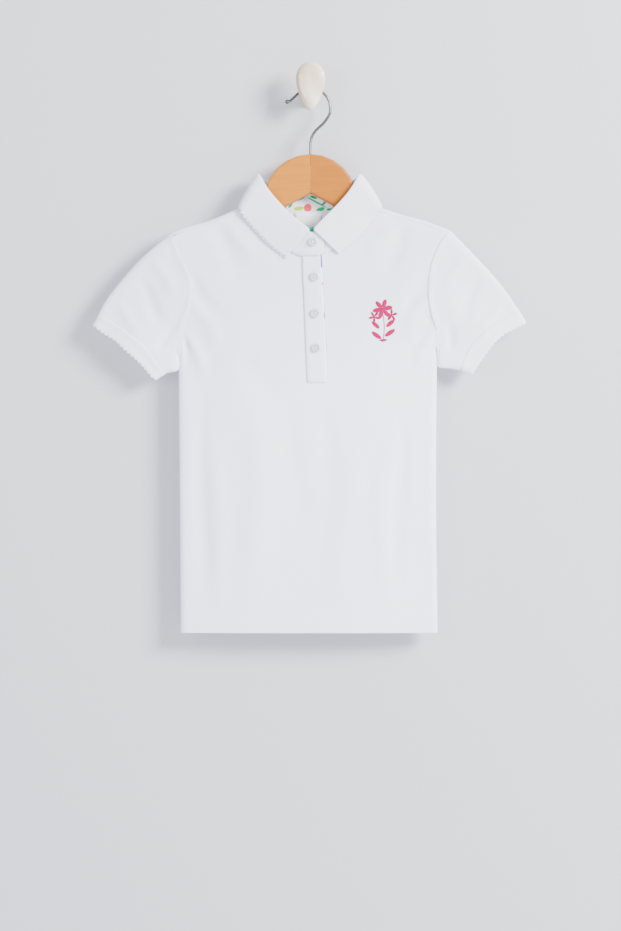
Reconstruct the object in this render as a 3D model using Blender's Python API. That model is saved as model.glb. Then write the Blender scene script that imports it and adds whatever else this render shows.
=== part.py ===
"""A child's polo shirt on a wooden hanger, hung from a small wall hook.

Metres, +Z up, the viewer looks along +Y and the wall is the plane y = 0.
The origin is the middle of the wall hook's flat back face.
"""

from collections import namedtuple
from math import cos, pi, radians, sin, sqrt

import bmesh
import bpy
import numpy as np
from mathutils import Matrix, Vector

for old in list(bpy.data.objects):
    bpy.data.objects.remove(old, do_unlink=True)

MM = 0.001

# ---------------------------------------------------------------- driving dimensions (mm)
MID_Y = -20.0            # the plane that the hanger and the shirt hang in
CLOTH = 1.2              # wall of the pique pieces
RIB = 1.5                # wall of the flat-knit collar leaf and cuffs
GAP = 0.3                # between two pieces that are sewn or seated together

HEM_Z = -624.0
HEM_DEPTH = 18.0
HEM_LEFT_X, HEM_RIGHT_X = -150.2, 147.2
TOP_FOLD_R = 7.9         # the cloth rolls over the hanger arm with this radius
SIDE_FOLD_R = 5.0        # and turns at the side seams and under the sleeves with this one
CROWN_REACH = 90.0       # the panels swell from their folds over this distance
FRONT_SWELL = 11.8       # half depth in the middle of the front
BACK_SWELL = 9.8         # and of the back
SHOULDER_SEAM_DROP = 4.0  # the shoulder seam lies this far forward of the fold

PLACKET_TOP_Z, PLACKET_END_Z = -187.6, -334.0
PLACKET_LAP = 1.6        # the printed under strip peeps out this far

BUTTON_R = 5.25
BUTTON_H = 2.3
BUTTON_HOLE_R = 0.75
BUTTON_HOLE_RING = 1.55
BUTTON_DISH_R = 3.4

WOOD_T = 12.0            # hanger wood, front to back
WIRE_R = 1.65
CROWN_R = 22.6           # bend of the wire hook, at the wire's centre
CROWN_X, CROWN_Z = 0.6, -14.0
POST_R = CROWN_R + CROWN_Z - WIRE_R - GAP
POST_LEN = 29.0
BASE_R, BASE_T = 11.0, 3.0
DROP_W, DROP_H, DROP_T = 34.0, 56.0, 8.0
DROP_TOP_Z, DROP_WIDE_Z = 38.4, 19.4

Spot = namedtuple("Spot", "x z")

# Outlines seen from the front, each walked from the neck outwards or from the top down.
TOP_LEFT = [Spot(-66.0, -125.5), Spot(-87.6, -132.2), Spot(-110.8, -143.8),
            Spot(-140.9, -152.0), Spot(-161.8, -159.5), Spot(-200.7, -192.6),
            Spot(-237.2, -236.6), Spot(-246.5, -254.0)]
TOP_RIGHT = [Spot(63.0, -124.0), Spot(86.4, -132.2), Spot(108.5, -139.9),
             Spot(130.0, -144.4), Spot(161.8, -156.6), Spot(187.9, -182.7),
             Spot(219.8, -217.5), Spot(243.0, -250.6)]
ARM_LEFT = [Spot(-162.4, -160.0), Spot(-152.5, -184.0), Spot(-139.8, -210.0),
            Spot(-136.0, -226.0), Spot(-141.5, -250.0), Spot(-150.5, -268.0),
            Spot(-152.8, -300.0)]
ARM_RIGHT = [Spot(161.8, -156.8), Spot(150.2, -171.0), Spot(139.5, -197.0),
             Spot(136.2, -224.0), Spot(138.0, -248.0), Spot(144.6, -266.0),
             Spot(146.4, -297.0)]
UNDER_LEFT = [Spot(-153.6, -302.0), Spot(-156.0, -314.0), Spot(-163.0, -320.5),
              Spot(-169.5, -324.0)]
UNDER_RIGHT = [Spot(147.2, -299.0), Spot(149.6, -311.0), Spot(157.0, -316.0),
               Spot(174.5, -319.5)]
CUFF_SEAM_LEFT = [Spot(-246.5, -254.0), Spot(-232.0, -262.0), Spot(-214.0, -273.8),
                  Spot(-193.0, -291.0), Spot(-179.2, -308.6), Spot(-169.5, -324.0)]
CUFF_SEAM_RIGHT = [Spot(243.0, -250.6), Spot(219.8, -261.0), Spot(203.6, -273.8),
                   Spot(187.3, -288.8), Spot(178.1, -306.2), Spot(174.5, -319.5)]
CUFF_EDGE_LEFT = [Spot(-252.3, -266.0), Spot(-243.0, -273.8), Spot(-226.8, -284.0),
                  Spot(-214.0, -295.8), Spot(-197.8, -310.3), Spot(-179.8, -331.0)]
CUFF_EDGE_RIGHT = [Spot(250.8, -263.6), Spot(228.5, -274.5), Spot(216.9, -283.0),
                   Spot(207.0, -294.6), Spot(196.6, -308.6), Spot(186.5, -325.2)]
BACK_NECK = [Spot(-66.0, -125.5), Spot(-40.0, -132.0), Spot(0.0, -134.5),
             Spot(38.0, -131.5), Spot(63.0, -124.0)]
FRONT_NECK_LEFT = [Spot(-66.0, -129.6), Spot(-55.0, -147.0), Spot(-36.0, -167.0),
                   Spot(-9.6, -184.0)]
FRONT_NECK_RIGHT = [Spot(63.0, -128.1), Spot(53.0, -146.0), Spot(36.0, -165.0),
                    Spot(13.0, -182.6)]

# Soft folds that the cloth holds. A row is a straight fold from one end to the other.
Fold = namedtuple("Fold", "x0 z0 x1 z1 width height")
FOLDS = [Fold(-124.0, -372.0, -121.0, -600.0, 11.0, 1.0),
         Fold(101.0, -378.0, 104.0, -604.0, 13.0, 0.9),
         Fold(-96.0, -176.0, -52.0, -232.0, 16.0, -1.1),
         Fold(98.0, -170.0, 66.0, -226.0, 15.0, -0.9),
         Fold(-204.0, -214.0, -166.0, -270.0, 12.0, -1.0),
         Fold(200.0, -210.0, 166.0, -262.0, 12.0, -1.0)]


# ---------------------------------------------------------------- curves and depths
def walk(spots, fractions):
    """Points on a smooth curve through the spots, at fractions of its length."""
    pts = np.array(spots, float)
    ends = np.vstack([2 * pts[0] - pts[1], pts, 2 * pts[-1] - pts[-2]])
    fine = []
    for a, b, c, d in zip(ends[:-3], ends[1:-2], ends[2:-1], ends[3:]):
        for t in np.linspace(0, 1, 16, endpoint=False):
            fine.append(0.5 * (2 * b + (c - a) * t + (2 * a - 5 * b + 4 * c - d) * t ** 2
                               + (3 * b - a - 3 * c + d) * t ** 3))
    fine = np.array(fine + [pts[-1]])
    run = np.concatenate([[0], np.cumsum(np.linalg.norm(np.diff(fine, axis=0), axis=1))])
    where = np.asarray(fractions) * run[-1]
    return np.column_stack([np.interp(where, run, fine[:, k]) for k in (0, 1)])


def joined(first, second, fractions, split):
    """One curve made of two, that meet at the fraction named split."""
    fractions = np.asarray(fractions, float)
    head = walk(first, np.clip(fractions / split, 0, 1))
    tail = walk(second, np.clip((fractions - split) / (1 - split), 0, 1))
    return np.where((fractions <= split)[:, None], head, tail)


def coons(left, right, bottom, top, us, vs):
    """Fill the four edges with a grid of (x, z). Rows follow vs, columns follow us."""
    grid = np.zeros((len(vs), len(us), 2))
    for j, v in enumerate(vs):
        for i, u in enumerate(us):
            grid[j, i] = ((1 - v) * bottom[i] + v * top[i] + (1 - u) * left[j] + u * right[j]
                          - (1 - u) * (1 - v) * bottom[0] - u * (1 - v) * bottom[-1]
                          - (1 - u) * v * top[0] - u * v * top[-1])
    return grid


def smooth(t):
    t = min(max(t, 0.0), 1.0)
    return t * t * (3 - 2 * t)


def distance(x, z, lines):
    """How far a point lies from the nearest of several outlines."""
    best = 1e9
    for line in lines:
        a, b = line[:-1], line[1:]
        ab = b - a
        p = np.array([x, z])
        t = np.clip(((p - a) * ab).sum(1) / (ab ** 2).sum(1), 0, 1)
        best = min(best, np.linalg.norm(a + ab * t[:, None] - p, axis=1).min())
    return best


EVEN = np.linspace(0, 1, 40)
TOP_LINES = [walk(TOP_LEFT + CUFF_EDGE_LEFT[:1], EVEN),
             walk(TOP_RIGHT + CUFF_EDGE_RIGHT[:1], EVEN)]
SIDE_LEFT = [Spot(HEM_LEFT_X, HEM_Z), Spot(-151.4, -460.0), ARM_LEFT[-1]]
SIDE_RIGHT = [Spot(HEM_RIGHT_X, HEM_Z), Spot(145.2, -460.0), ARM_RIGHT[-1]]
BODY_LINES = TOP_LINES + [walk(SIDE_LEFT, EVEN), walk(SIDE_RIGHT, EVEN)]
SLEEVE_LINES = {"left": TOP_LINES + [walk(UNDER_LEFT + CUFF_EDGE_LEFT[-1:], EVEN)],
                "right": TOP_LINES + [walk(UNDER_RIGHT + CUFF_EDGE_RIGHT[-1:], EVEN)]}


def fold_radius(z):
    """The fold is wide over the hanger and narrower below it."""
    return TOP_FOLD_R + (SIDE_FOLD_R - TOP_FOLD_R) * smooth((-180.0 - z) / 60.0)


def crease(x, z):
    """Height of the soft folds at a point."""
    rise = 0.0
    for fold in FOLDS:
        a = np.array([fold.x0, fold.z0])
        ab = np.array([fold.x1, fold.z1]) - a
        t = float(np.clip(np.dot(np.array([x, z]) - a, ab) / np.dot(ab, ab), 0, 1))
        off = np.linalg.norm(a + ab * t - np.array([x, z])) / fold.width
        rise += fold.height * smooth(1 - off) * smooth(5 * t) * smooth(5 * (1 - t))
    return rise


def half_depth(x, z, lines, front):
    """Distance of the cloth's outer face from the middle plane."""
    away = distance(x, z, lines)
    radius = fold_radius(z)
    swell = (FRONT_SWELL if front else BACK_SWELL) - 1.2 * smooth((-300.0 - z) / 320.0)
    full = radius + (swell - radius) * smooth(away / CROWN_REACH)
    t = min(away / radius, 1.0)
    return full * sqrt(max(0.0, 1 - (1 - t) ** 2)) + crease(x, z) * smooth(away / 25.0)


def front_point(x, z, out=0.0, lines=None):
    """A point on the front's outer face, moved out by a distance."""
    return (x, MID_Y - half_depth(x, z, lines or BODY_LINES, True) - out, z)


def back_point(x, z, out=0.0, lines=None):
    return (x, MID_Y + half_depth(x, z, lines or BODY_LINES, False) + out, z)


# ---------------------------------------------------------------- materials and meshes
def material(name, colour, rough, metal=0.0):
    made = bpy.data.materials.new(name)
    made.use_nodes = True
    bsdf = made.node_tree.nodes["Principled BSDF"]
    bsdf.inputs["Base Color"].default_value = (*colour, 1.0)
    bsdf.inputs["Roughness"].default_value = rough
    bsdf.inputs["Metallic"].default_value = metal
    return made


PIQUE = material("pique", (0.80, 0.80, 0.84), 0.9)
RIBBED = material("rib knit", (0.82, 0.82, 0.85), 0.9)
PRINT = material("printed cloth", (0.55, 0.75, 0.45), 0.85)
LABEL = material("label", (0.86, 0.86, 0.86), 0.7)
PEARL = material("pearl", (0.85, 0.84, 0.84), 0.25)
WOOD = material("wood", (0.62, 0.36, 0.14), 0.4)
STEEL = material("steel", (0.45, 0.46, 0.48), 0.3, 1.0)
GLAZE = material("glaze", (0.80, 0.76, 0.70), 0.2)


def place(name, verts, faces, paint):
    """Make an object from points in millimetres."""
    mesh = bpy.data.meshes.new(name)
    mesh.from_pydata([Vector(v) * MM for v in verts], [], faces)
    mesh.materials.append(paint)
    made = bpy.data.objects.new(name, mesh)
    bpy.context.collection.objects.link(made)
    bm = bmesh.new()
    bm.from_mesh(mesh)
    bmesh.ops.remove_doubles(bm, verts=bm.verts, dist=0.02 * MM)
    bmesh.ops.dissolve_degenerate(bm, dist=0.01 * MM, edges=bm.edges)
    bmesh.ops.recalc_face_normals(bm, faces=bm.faces)
    bm.to_mesh(mesh)
    bm.free()
    mesh.shade_smooth()
    return made


def sheet(name, grids, paint, wall):
    """Cloth from one or more grids of outer points, given its wall by Solidify."""
    verts, faces = [], []
    for grid in grids:
        rows, cols = len(grid), len(grid[0])
        start = len(verts)
        for row in grid:
            verts.extend(tuple(p) for p in row)
        for j in range(rows - 1):
            for i in range(cols - 1):
                a = start + j * cols + i
                faces.append((a, a + 1, a + cols + 1, a + cols))
    made = place(name, verts, faces, paint)
    far = max(made.data.polygons, key=lambda face: abs(face.center.y - MID_Y * MM))
    if far.normal.y * (far.center.y - MID_Y * MM) < 0:
        made.data.flip_normals()
    wall_mod = made.modifiers.new("wall", "SOLIDIFY")
    wall_mod.thickness = wall * MM
    wall_mod.offset = -1.0
    return made


# ---------------------------------------------------------------- body panels
UNDERARM_V = 0.684       # share of the side that lies below the underarm
RING = [0.0, 0.006, 0.022, 0.05, 0.12, 0.22, 0.33, 0.45, 0.57, 0.69, 0.81, 0.90, 0.955,
        0.99, 1.0]
ROWS = [0.0, 0.041, 0.13, 0.23, 0.33, 0.43, 0.53, 0.61, 0.6636] + [
    1 - share * (1 - UNDERARM_V) for share in RING[::-1]]
FRONT_ROWS = ROWS[:-3] + [1.0]
SEAM_SHARE = 0.036       # the front's armhole starts this far down, at the shoulder seam
PLACKET_ROW = ROWS.index(0.6636)
NEAR_SIDE = [0.0, 0.004, 0.013, 0.036, 0.09, 0.17]
HALF_COLS = NEAR_SIDE + [0.28, 0.4, 0.52, 0.62, 0.64, 0.68, 0.76, 0.88, 1.0]
SHOULDER_SHARE = 0.62    # share of a half's top edge that is shoulder, the rest is neck


def slot_x(z, side):
    """Edges of the placket's top strip, which leans a little to the right."""
    if side == "left":
        return -9.6 + (PLACKET_TOP_Z - z) * 0.0415
    return 11.4 + (PLACKET_TOP_Z - z) * 0.0524


def notch_x(z, side):
    """Edges of the slit in the front: under the strip at the left, past it at the right."""
    return slot_x(z, side) + (2.0 if side == "left" else PLACKET_LAP + GAP)


def dropped(spots, drop):
    return [Spot(s.x, s.z - drop) for s in spots]


def arm_spots(side):
    if side == "left":
        return [TOP_LEFT[4]] + ARM_LEFT[1:]
    return [TOP_RIGHT[4]] + ARM_RIGHT[1:]


def side_edge(side, rows, first_share):
    """A panel's edge, up the side seam and the armhole, one point for each row."""
    below = [v for v in rows if v < UNDERARM_V - 1e-6]
    shares = [max((1 - v) / (1 - UNDERARM_V), first_share) for v in rows[len(below):]]
    seam = walk(SIDE_LEFT if side == "left" else SIDE_RIGHT, np.array(below) / UNDERARM_V)
    return np.vstack([seam, walk(arm_spots(side), shares)])


def turned_edge(row, sign):
    """The last stretch of a side runs straight back to the seam."""
    x, _, z = row[0]
    row[0] = (x, MID_Y + sign * GAP / 2, z)
    row[1] = (x, MID_Y + sign * 1.4, z)


def front_half(side):
    left = side == "left"
    top_line = TOP_LEFT if left else TOP_RIGHT
    seam = dropped(top_line[4::-1], SHOULDER_SEAM_DROP)
    neck = FRONT_NECK_LEFT if left else FRONT_NECK_RIGHT
    outer = side_edge(side, FRONT_ROWS, SEAM_SHARE)
    seam[0] = Spot(*outer[-1])
    corner_z = neck[-1].z
    inner = np.array([(notch_x(z, side), z) for z in
                      [HEM_Z + v * (corner_z - HEM_Z) for v in FRONT_ROWS]])
    us = np.array(HALF_COLS)
    bottom = outer[0] + (inner[0] - outer[0]) * us[:, None]
    neck = neck[:-1] + [Spot(*inner[-1])]
    top = joined(seam, neck, us, SHOULDER_SHARE)
    grid = coons(outer, inner, bottom, top, us, FRONT_ROWS)
    made = []
    for v, row in zip(FRONT_ROWS, grid):
        points = [front_point(x, z) for x, z in row]
        if v < UNDERARM_V + 1e-6:
            turned_edge(points, -1)
        made.append(points if left else points[::-1])
    return made


def front_panel():
    left, right = front_half("left"), front_half("right")
    middle = []
    for a, b in zip(left[:PLACKET_ROW + 1], right[:PLACKET_ROW + 1]):
        start, end = a[-1], b[0]
        row = []
        for t in np.linspace(0, 1, 4):
            x = start[0] + (end[0] - start[0]) * t
            z = start[2] + (end[2] - start[2]) * t
            row.append(front_point(x, z))
        row[0], row[-1] = start, end
        middle.append(row)
    return sheet("front_panel", [left, middle, right], PIQUE, CLOTH)


def back_panel():
    seams = [TOP_LEFT[4::-1], TOP_RIGHT[:5]]
    left, right = side_edge("left", ROWS, 0.0), side_edge("right", ROWS, 0.0)
    half = np.array(HALF_COLS) / 2
    us = np.concatenate([half, 1 - half[-2::-1]])
    bottom = left[0] + (right[0] - left[0]) * us[:, None]
    neck_from = 0.31
    shoulder_l = walk(seams[0], np.clip(us / neck_from, 0, 1))
    shoulder_r = walk(seams[1], np.clip((us - 1 + neck_from) / neck_from, 0, 1))
    neck = walk(BACK_NECK, np.clip((us - neck_from) / (1 - 2 * neck_from), 0, 1))
    top = np.where((us <= neck_from)[:, None], shoulder_l,
                   np.where((us >= 1 - neck_from)[:, None], shoulder_r, neck))
    grid = coons(left, right, bottom, top, us, ROWS)
    main = [[back_point(x, z) for x, z in row] for row in grid]
    for v, row in zip(ROWS, main):
        if v < UNDERARM_V + 1e-6:
            turned_edge(row, 1)
            row.reverse()
            turned_edge(row, 1)
            row.reverse()
    grids = [main]
    drops = [0.0, 0.7, 1.8, SHOULDER_SEAM_DROP - 1.1]
    for side, keep in (("left", us <= neck_from), ("right", us >= 1 - neck_from)):
        line = grid[-1][keep]
        arm = walk(arm_spots(side), EVEN)
        tip = arm[0]
        rows = []
        for drop in drops:
            inset = np.interp(drop, tip[1] - arm[:, 1], arm[:, 0]) - tip[0]
            rows.append([front_point(x + inset * (x / tip[0]) ** 8, z - drop)
                         for x, z in line])
        rows[0] = [p for p, k in zip(main[-1], keep) if k]
        grids.append(rows)
    return sheet("back_panel", grids, PIQUE, CLOTH)


# ---------------------------------------------------------------- sleeves and cuffs
STATIONS = [0.0, 0.12, 0.26, 0.42, 0.58, 0.74, 0.88, 1.0]
SEWN = 0.6               # the sleeve's edge stands this far off the armhole


def tube(rows, lines):
    """Rings of outer points: down the front, then back up behind."""
    made = []
    for row in rows:
        front = [front_point(x, z, 0.0, lines) for x, z in row]
        back = [back_point(x, z, 0.0, lines) for x, z in row]
        ring = front + back[-2::-1]
        ring[0] = ring[-1] = (row[0][0], MID_Y, row[0][1])
        ring[len(row) - 1] = (row[-1][0], MID_Y, row[-1][1])
        made.append(ring)
    return made


def sleeve(side):
    left = side == "left"
    sign = -1 if left else 1
    top_line = TOP_LEFT if left else TOP_RIGHT
    arm = [Spot(s.x + sign * SEWN, s.z) for s in arm_spots(side)]
    under = UNDER_LEFT if left else UNDER_RIGHT
    seam = CUFF_SEAM_LEFT if left else CUFF_SEAM_RIGHT
    armhole, cuff = walk(arm, RING), walk(seam, RING)
    above = walk([arm[0]] + top_line[5:], STATIONS)
    below = walk([arm[-1]] + under[1:], STATIONS)
    grid = coons(above, below, armhole, cuff, RING, STATIONS)
    return sheet("sleeve_" + side, [tube(grid, SLEEVE_LINES[side])], PIQUE, CLOTH)


def cuff(side):
    """A band from the cuff seam to the wavy edge, three rings deep."""
    left = side == "left"
    seam = walk(CUFF_SEAM_LEFT if left else CUFF_SEAM_RIGHT, RING)
    edge = walk(CUFF_EDGE_LEFT if left else CUFF_EDGE_RIGHT, RING)
    away = (edge - seam) / np.linalg.norm(edge - seam, axis=1)[:, None]
    start = seam + away * SEWN
    rows = [start + (edge - start) * t for t in (0.0, 0.5, 1.0)]
    return sheet("cuff_" + side, [tube(rows, SLEEVE_LINES[side])], RIBBED, RIB)


# ---------------------------------------------------------------- collar
# Half of the collar, from the front to the back of the neck. x is outwards from the
# middle, y is from the middle plane, negative to the front. seam is where the stand's
# lower edge runs, fold is the stand's upper edge, edge is the leaf's outer edge.
Collar = namedtuple("Collar", "seam_x seam_y seam_z fold_x fold_y fold_z edge_x edge_y edge_z")
COLLAR = [Collar(3.0, -13.2, -186.5, 3.0, -14.0, -159.0, 30.4, -13.9, -185.5),
          Collar(17.0, -13.0, -184.5, 17.0, -13.4, -146.2, 35.6, -13.7, -181.8),
          Collar(35.0, -12.4, -171.0, 33.6, -12.2, -130.0, 53.0, -13.2, -167.0),
          Collar(52.0, -11.0, -153.0, 48.0, -9.6, -113.0, 70.7, -12.0, -146.7),
          Collar(62.0, -11.4, -138.0, 56.0, -6.8, -99.5, 79.5, -12.8, -134.5),
          Collar(66.2, -8.0, -128.0, 58.4, -3.4, -95.8, 82.2, -8.6, -129.0),
          Collar(66.3, 0.0, -123.9, 59.0, 0.6, -95.0, 83.0, 0.0, -127.6),
          Collar(66.2, 8.0, -128.0, 57.6, 4.6, -96.6, 82.2, 8.6, -129.8),
          Collar(60.0, 11.4, -134.5, 53.0, 8.0, -100.4, 77.0, 12.0, -137.5),
          Collar(40.0, 11.6, -136.5, 38.0, 10.0, -105.0, 56.0, 13.2, -148.0),
          Collar(20.0, 12.0, -137.6, 19.0, 10.9, -109.0, 28.0, 13.6, -153.5),
          Collar(0.0, 12.1, -138.0, 0.0, 11.2, -110.0, 0.0, 13.7, -155.0)]
COLLAR_COLS = 26
STAND_END_X = 15.5       # the stand's upper end reaches past the middle to here
LEAF_ROLL = 2.3          # the leaf turns over the stand's edge with this outer radius


def lean(z):
    """The neck and the placket lean a little to the right on the hanger."""
    return -1.5 + 3.5 * smooth((-95.0 - z) / 90.0)


def collar_curve(column, count):
    """One named column of the table, smoothly, with its point on both halves."""
    cols = {"seam": (0, 1, 2), "fold": (3, 4, 5), "edge": (6, 7, 8)}[column]
    pts = np.array([[row[c] for c in cols] for row in COLLAR], float)
    param = np.linspace(0, len(pts) - 1, count)
    ends = np.vstack([2 * pts[0] - pts[1], pts, pts[-2] * [-1, 1, 1]])
    made = []
    for t in param:
        k = min(int(t), len(pts) - 2)
        f = t - k
        a, b, c, d = ends[k:k + 4]
        made.append(0.5 * (2 * b + (c - a) * f + (2 * a - 5 * b + 4 * c - d) * f ** 2
                           + (3 * b - a - 3 * c + d) * f ** 3))
    return np.array(made)


def both_sides(half):
    """Viewer's left half, then round the back to the right half, leaning."""
    left = half * [-1, 1, 1]
    right = half[-2::-1]
    ring = np.vstack([left, right])
    ring[:, 0] += [lean(z) for z in ring[:, 2]]
    tilt = [smooth((-100.0 - z) / 60.0) * 2.0 * np.sign(x - lean(z)) * (y < 0)
            for x, y, z in ring]
    ring[:, 2] += np.array(tilt) * np.clip(np.abs(ring[:, 0]) / 20.0, 0, 1)
    return ring


def from_mid(point):
    """The collar's table counts y from the middle plane."""
    return (point[0], point[1] + MID_Y, point[2])


def collar_stand():
    seam = both_sides(collar_curve("seam", COLLAR_COLS))
    fold = both_sides(collar_curve("fold", COLLAR_COLS))
    count = len(seam)
    for k in range(count):
        share = k / (count - 1)
        step = 1.7 * smooth((0.055 - share) / 0.05) - 0.2 * smooth((share - 0.95) / 0.04)
        seam[k, 1] -= step
        fold[k, 1] -= step
    lap = []
    for x, low, high in ((STAND_END_X, 0.32, 0.66), (STAND_END_X - 1.6, 0.12, 0.84),
                         (STAND_END_X - 5.0, 0.0, 0.97), (8.0, 0.0, 1.0), (2.0, 0.0, 1.0)):
        foot = np.array([x, seam[0, 1], seam[0, 2] + 0.3])
        head = np.array([x, fold[0, 1], fold[0, 2] - 0.5])
        lap.append([foot + (head - foot) * low, foot + (head - foot) * high])
    columns = lap + [[a, b] for a, b in zip(seam, fold)]
    rows = []
    for t in (0.0, 0.25, 0.5, 0.75, 1.0):
        rows.append([from_mid(low + (high - low) * t) for low, high in columns])
    return sheet("collar_stand", [rows], PIQUE, CLOTH)


def leaf_sections():
    seam = both_sides(collar_curve("seam", COLLAR_COLS))
    fold = both_sides(collar_curve("fold", COLLAR_COLS))
    edge = both_sides(collar_curve("edge", COLLAR_COLS))
    sections = []
    count = len(fold)
    for k in range(count):
        ahead, behind = fold[min(k + 1, count - 1)], fold[max(k - 1, 0)]
        along = ahead - behind
        up = fold[k] - seam[k]
        up = up / np.linalg.norm(up)
        out = np.cross(along, up)
        out = out / np.linalg.norm(out)
        if out[1] * fold[k, 1] + out[0] * (fold[k, 0] - lean(fold[k, 2])) * 0.2 < 0:
            out = -out
        step = 1.7 * smooth((0.055 - k / (count - 1)) / 0.05)
        top = fold[k] - np.array([0.0, step, 0.0])
        start = top + up * 2 * GAP - out * CLOTH
        roll = LEAF_ROLL + 0.7 * smooth((k / (count - 1) - 0.93) / 0.05)
        middle = start + up * 0.8 + out * roll
        points = [start]
        for turn in (180, 150, 110, 70, 30, 0):
            angle = radians(turn)
            points.append(middle + out * roll * cos(angle) + up * roll * sin(angle))
        root = points[-1]
        for t in (0.12, 0.3, 0.5, 0.7, 0.86, 1.0):
            bow = 1.2 * sin(pi * t)
            points.append(root + (edge[k] - root) * t + out * bow)
        sections.append([from_mid(p) for p in points])
    return sections


def collar_leaf():
    return sheet("collar", [leaf_sections()], RIBBED, RIB)


# ---------------------------------------------------------------- placket, facing, label
def strip(name, left_x, right_x, zs, out, paint, wall):
    """A strip on the front, made from the front's own points, moved out."""
    rows = []
    for z in zs:
        a, b = left_x(z), right_x(z)
        rows.append([front_point(a + (b - a) * t, z, out) for t in np.linspace(0, 1, 5)])
    return sheet(name, [rows], paint, wall)


def placket_top():
    zs = np.linspace(PLACKET_END_Z, PLACKET_TOP_Z - GAP, 9)
    return strip("placket_top", lambda z: slot_x(z, "left"), lambda z: slot_x(z, "right"),
                 zs, CLOTH + GAP, PIQUE, CLOTH)


def placket_under():
    foot = PLACKET_END_Z + 6.0
    zs = np.linspace(foot, PLACKET_TOP_Z - GAP, 9)
    return strip("placket_under", lambda z: notch_x(z, "left") + GAP,
                 lambda z: notch_x(z, "right") - GAP, zs, 0.0, PRINT, CLOTH)


def neck_facing():
    """Printed strip inside the stand, round the back of the neck."""
    seam = both_sides(collar_curve("seam", COLLAR_COLS))
    fold = both_sides(collar_curve("fold", COLLAR_COLS))
    keep = [k for k in range(len(seam)) if seam[k, 1] > 10.3]
    rows = []
    for t in (0.24, 0.5, 0.75, 0.94):
        row = []
        for k in keep:
            point = seam[k] + (fold[k] - seam[k]) * t
            row.append(from_mid(point - np.array([0.0, CLOTH + GAP + 0.1, 0.0])))
        rows.append(row)
    return sheet("neck_facing", [rows], PRINT, 1.0)


LABEL_W, LABEL_H, LABEL_TOP_Z, LABEL_X = 30.0, 18.5, -136.5, -3.0


def neck_label():
    """Bare label on the inside of the back, just under the stand."""
    rows = []
    for z in np.linspace(LABEL_TOP_Z - LABEL_H, LABEL_TOP_Z, 4):
        rows.append([back_point(LABEL_X + LABEL_W * t, z, -CLOTH - GAP)
                     for t in np.linspace(-0.5, 0.5, 5)])
    return sheet("neck_label", [rows], LABEL, 1.0)


# ---------------------------------------------------------------- buttons
Button = namedtuple("Button", "x z out")
ON_STAND, ON_PLACKET = 4.3, CLOTH + 2 * GAP
BUTTONS = [Button(2.7, -170.5, ON_STAND), Button(4.5, -211.1, ON_PLACKET),
           Button(5.2, -253.5, ON_PLACKET), Button(6.4, -293.5, ON_PLACKET)]


def turned(name, profile, centre, axis_y, segments, paint):
    """A closed solid turned about an axis along Y. profile rows are (radius, depth)."""
    verts, faces = [], []
    for r, depth in profile:
        for k in range(segments):
            a = 2 * pi * k / segments
            verts.append((centre[0] + r * cos(a), axis_y + depth, centre[1] + r * sin(a)))
    for j in range(len(profile) - 1):
        for k in range(segments):
            n = (k + 1) % segments
            faces.append((j * segments + k, j * segments + n, (j + 1) * segments + n,
                          (j + 1) * segments + k))
    faces.append(tuple(range(segments)))
    faces.append(tuple((len(profile) - 1) * segments + k for k in range(segments)))
    made = place(name, verts, faces, paint)
    made.data.set_sharp_from_angle(angle=radians(40))
    return made


def button(number, row):
    face = front_point(row.x, row.z, row.out)[1]
    profile = [(BUTTON_R - 1.2, 0.0), (BUTTON_R, -0.9), (BUTTON_R - 0.2, -BUTTON_H + 0.3),
               (BUTTON_R - 0.8, -BUTTON_H), (BUTTON_DISH_R + 0.2, -BUTTON_H),
               (BUTTON_DISH_R - 0.4, -BUTTON_H + 0.6)]
    made = turned(f"button_{number}", profile, (row.x, row.z), face, 20, PEARL)
    bm = bmesh.new()
    for quarter in range(4):
        a = pi / 4 + quarter * pi / 2
        spot = Vector((row.x + BUTTON_HOLE_RING * cos(a), face - BUTTON_H / 2,
                       row.z + BUTTON_HOLE_RING * sin(a))) * MM
        turn = Matrix.Translation(spot) @ Matrix.Rotation(pi / 2, 4, "X")
        bmesh.ops.create_cone(bm, cap_ends=True, segments=6, radius1=BUTTON_HOLE_R * MM,
                              radius2=BUTTON_HOLE_R * MM, depth=2 * BUTTON_H * MM, matrix=turn)
    mesh = bpy.data.meshes.new(f"cutter_{number}")
    bm.to_mesh(mesh)
    bm.free()
    drill = bpy.data.objects.new(f"cutter_{number}", mesh)
    bpy.context.collection.objects.link(drill)
    drill.hide_render = True
    drill.display_type = "WIRE"
    cut = made.modifiers.new("thread holes", "BOOLEAN")
    cut.object = drill
    cut.solver = "EXACT"
    return made


# ---------------------------------------------------------------- hanger and hook
ARC_X, ARC_Z, ARC_R = 0.0, -122.5, 54.5   # the hanger's round neck
ARM_TOP = [Spot(56.0, -125.0), Spot(64.0, -130.2), Spot(86.0, -139.0), Spot(110.0, -149.5),
           Spot(134.0, -158.0), Spot(150.0, -166.5)]
ARM_TIP = [Spot(153.0, -171.0), Spot(151.5, -178.0), Spot(145.0, -181.0)]
ARM_LOW = [Spot(120.0, -173.0), Spot(90.0, -160.5), Spot(60.0, -146.5), Spot(32.0, -130.7),
           Spot(0.0, -113.7)]
STEM_R, STEM_DEPTH = WIRE_R + GAP, 14.0


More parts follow.
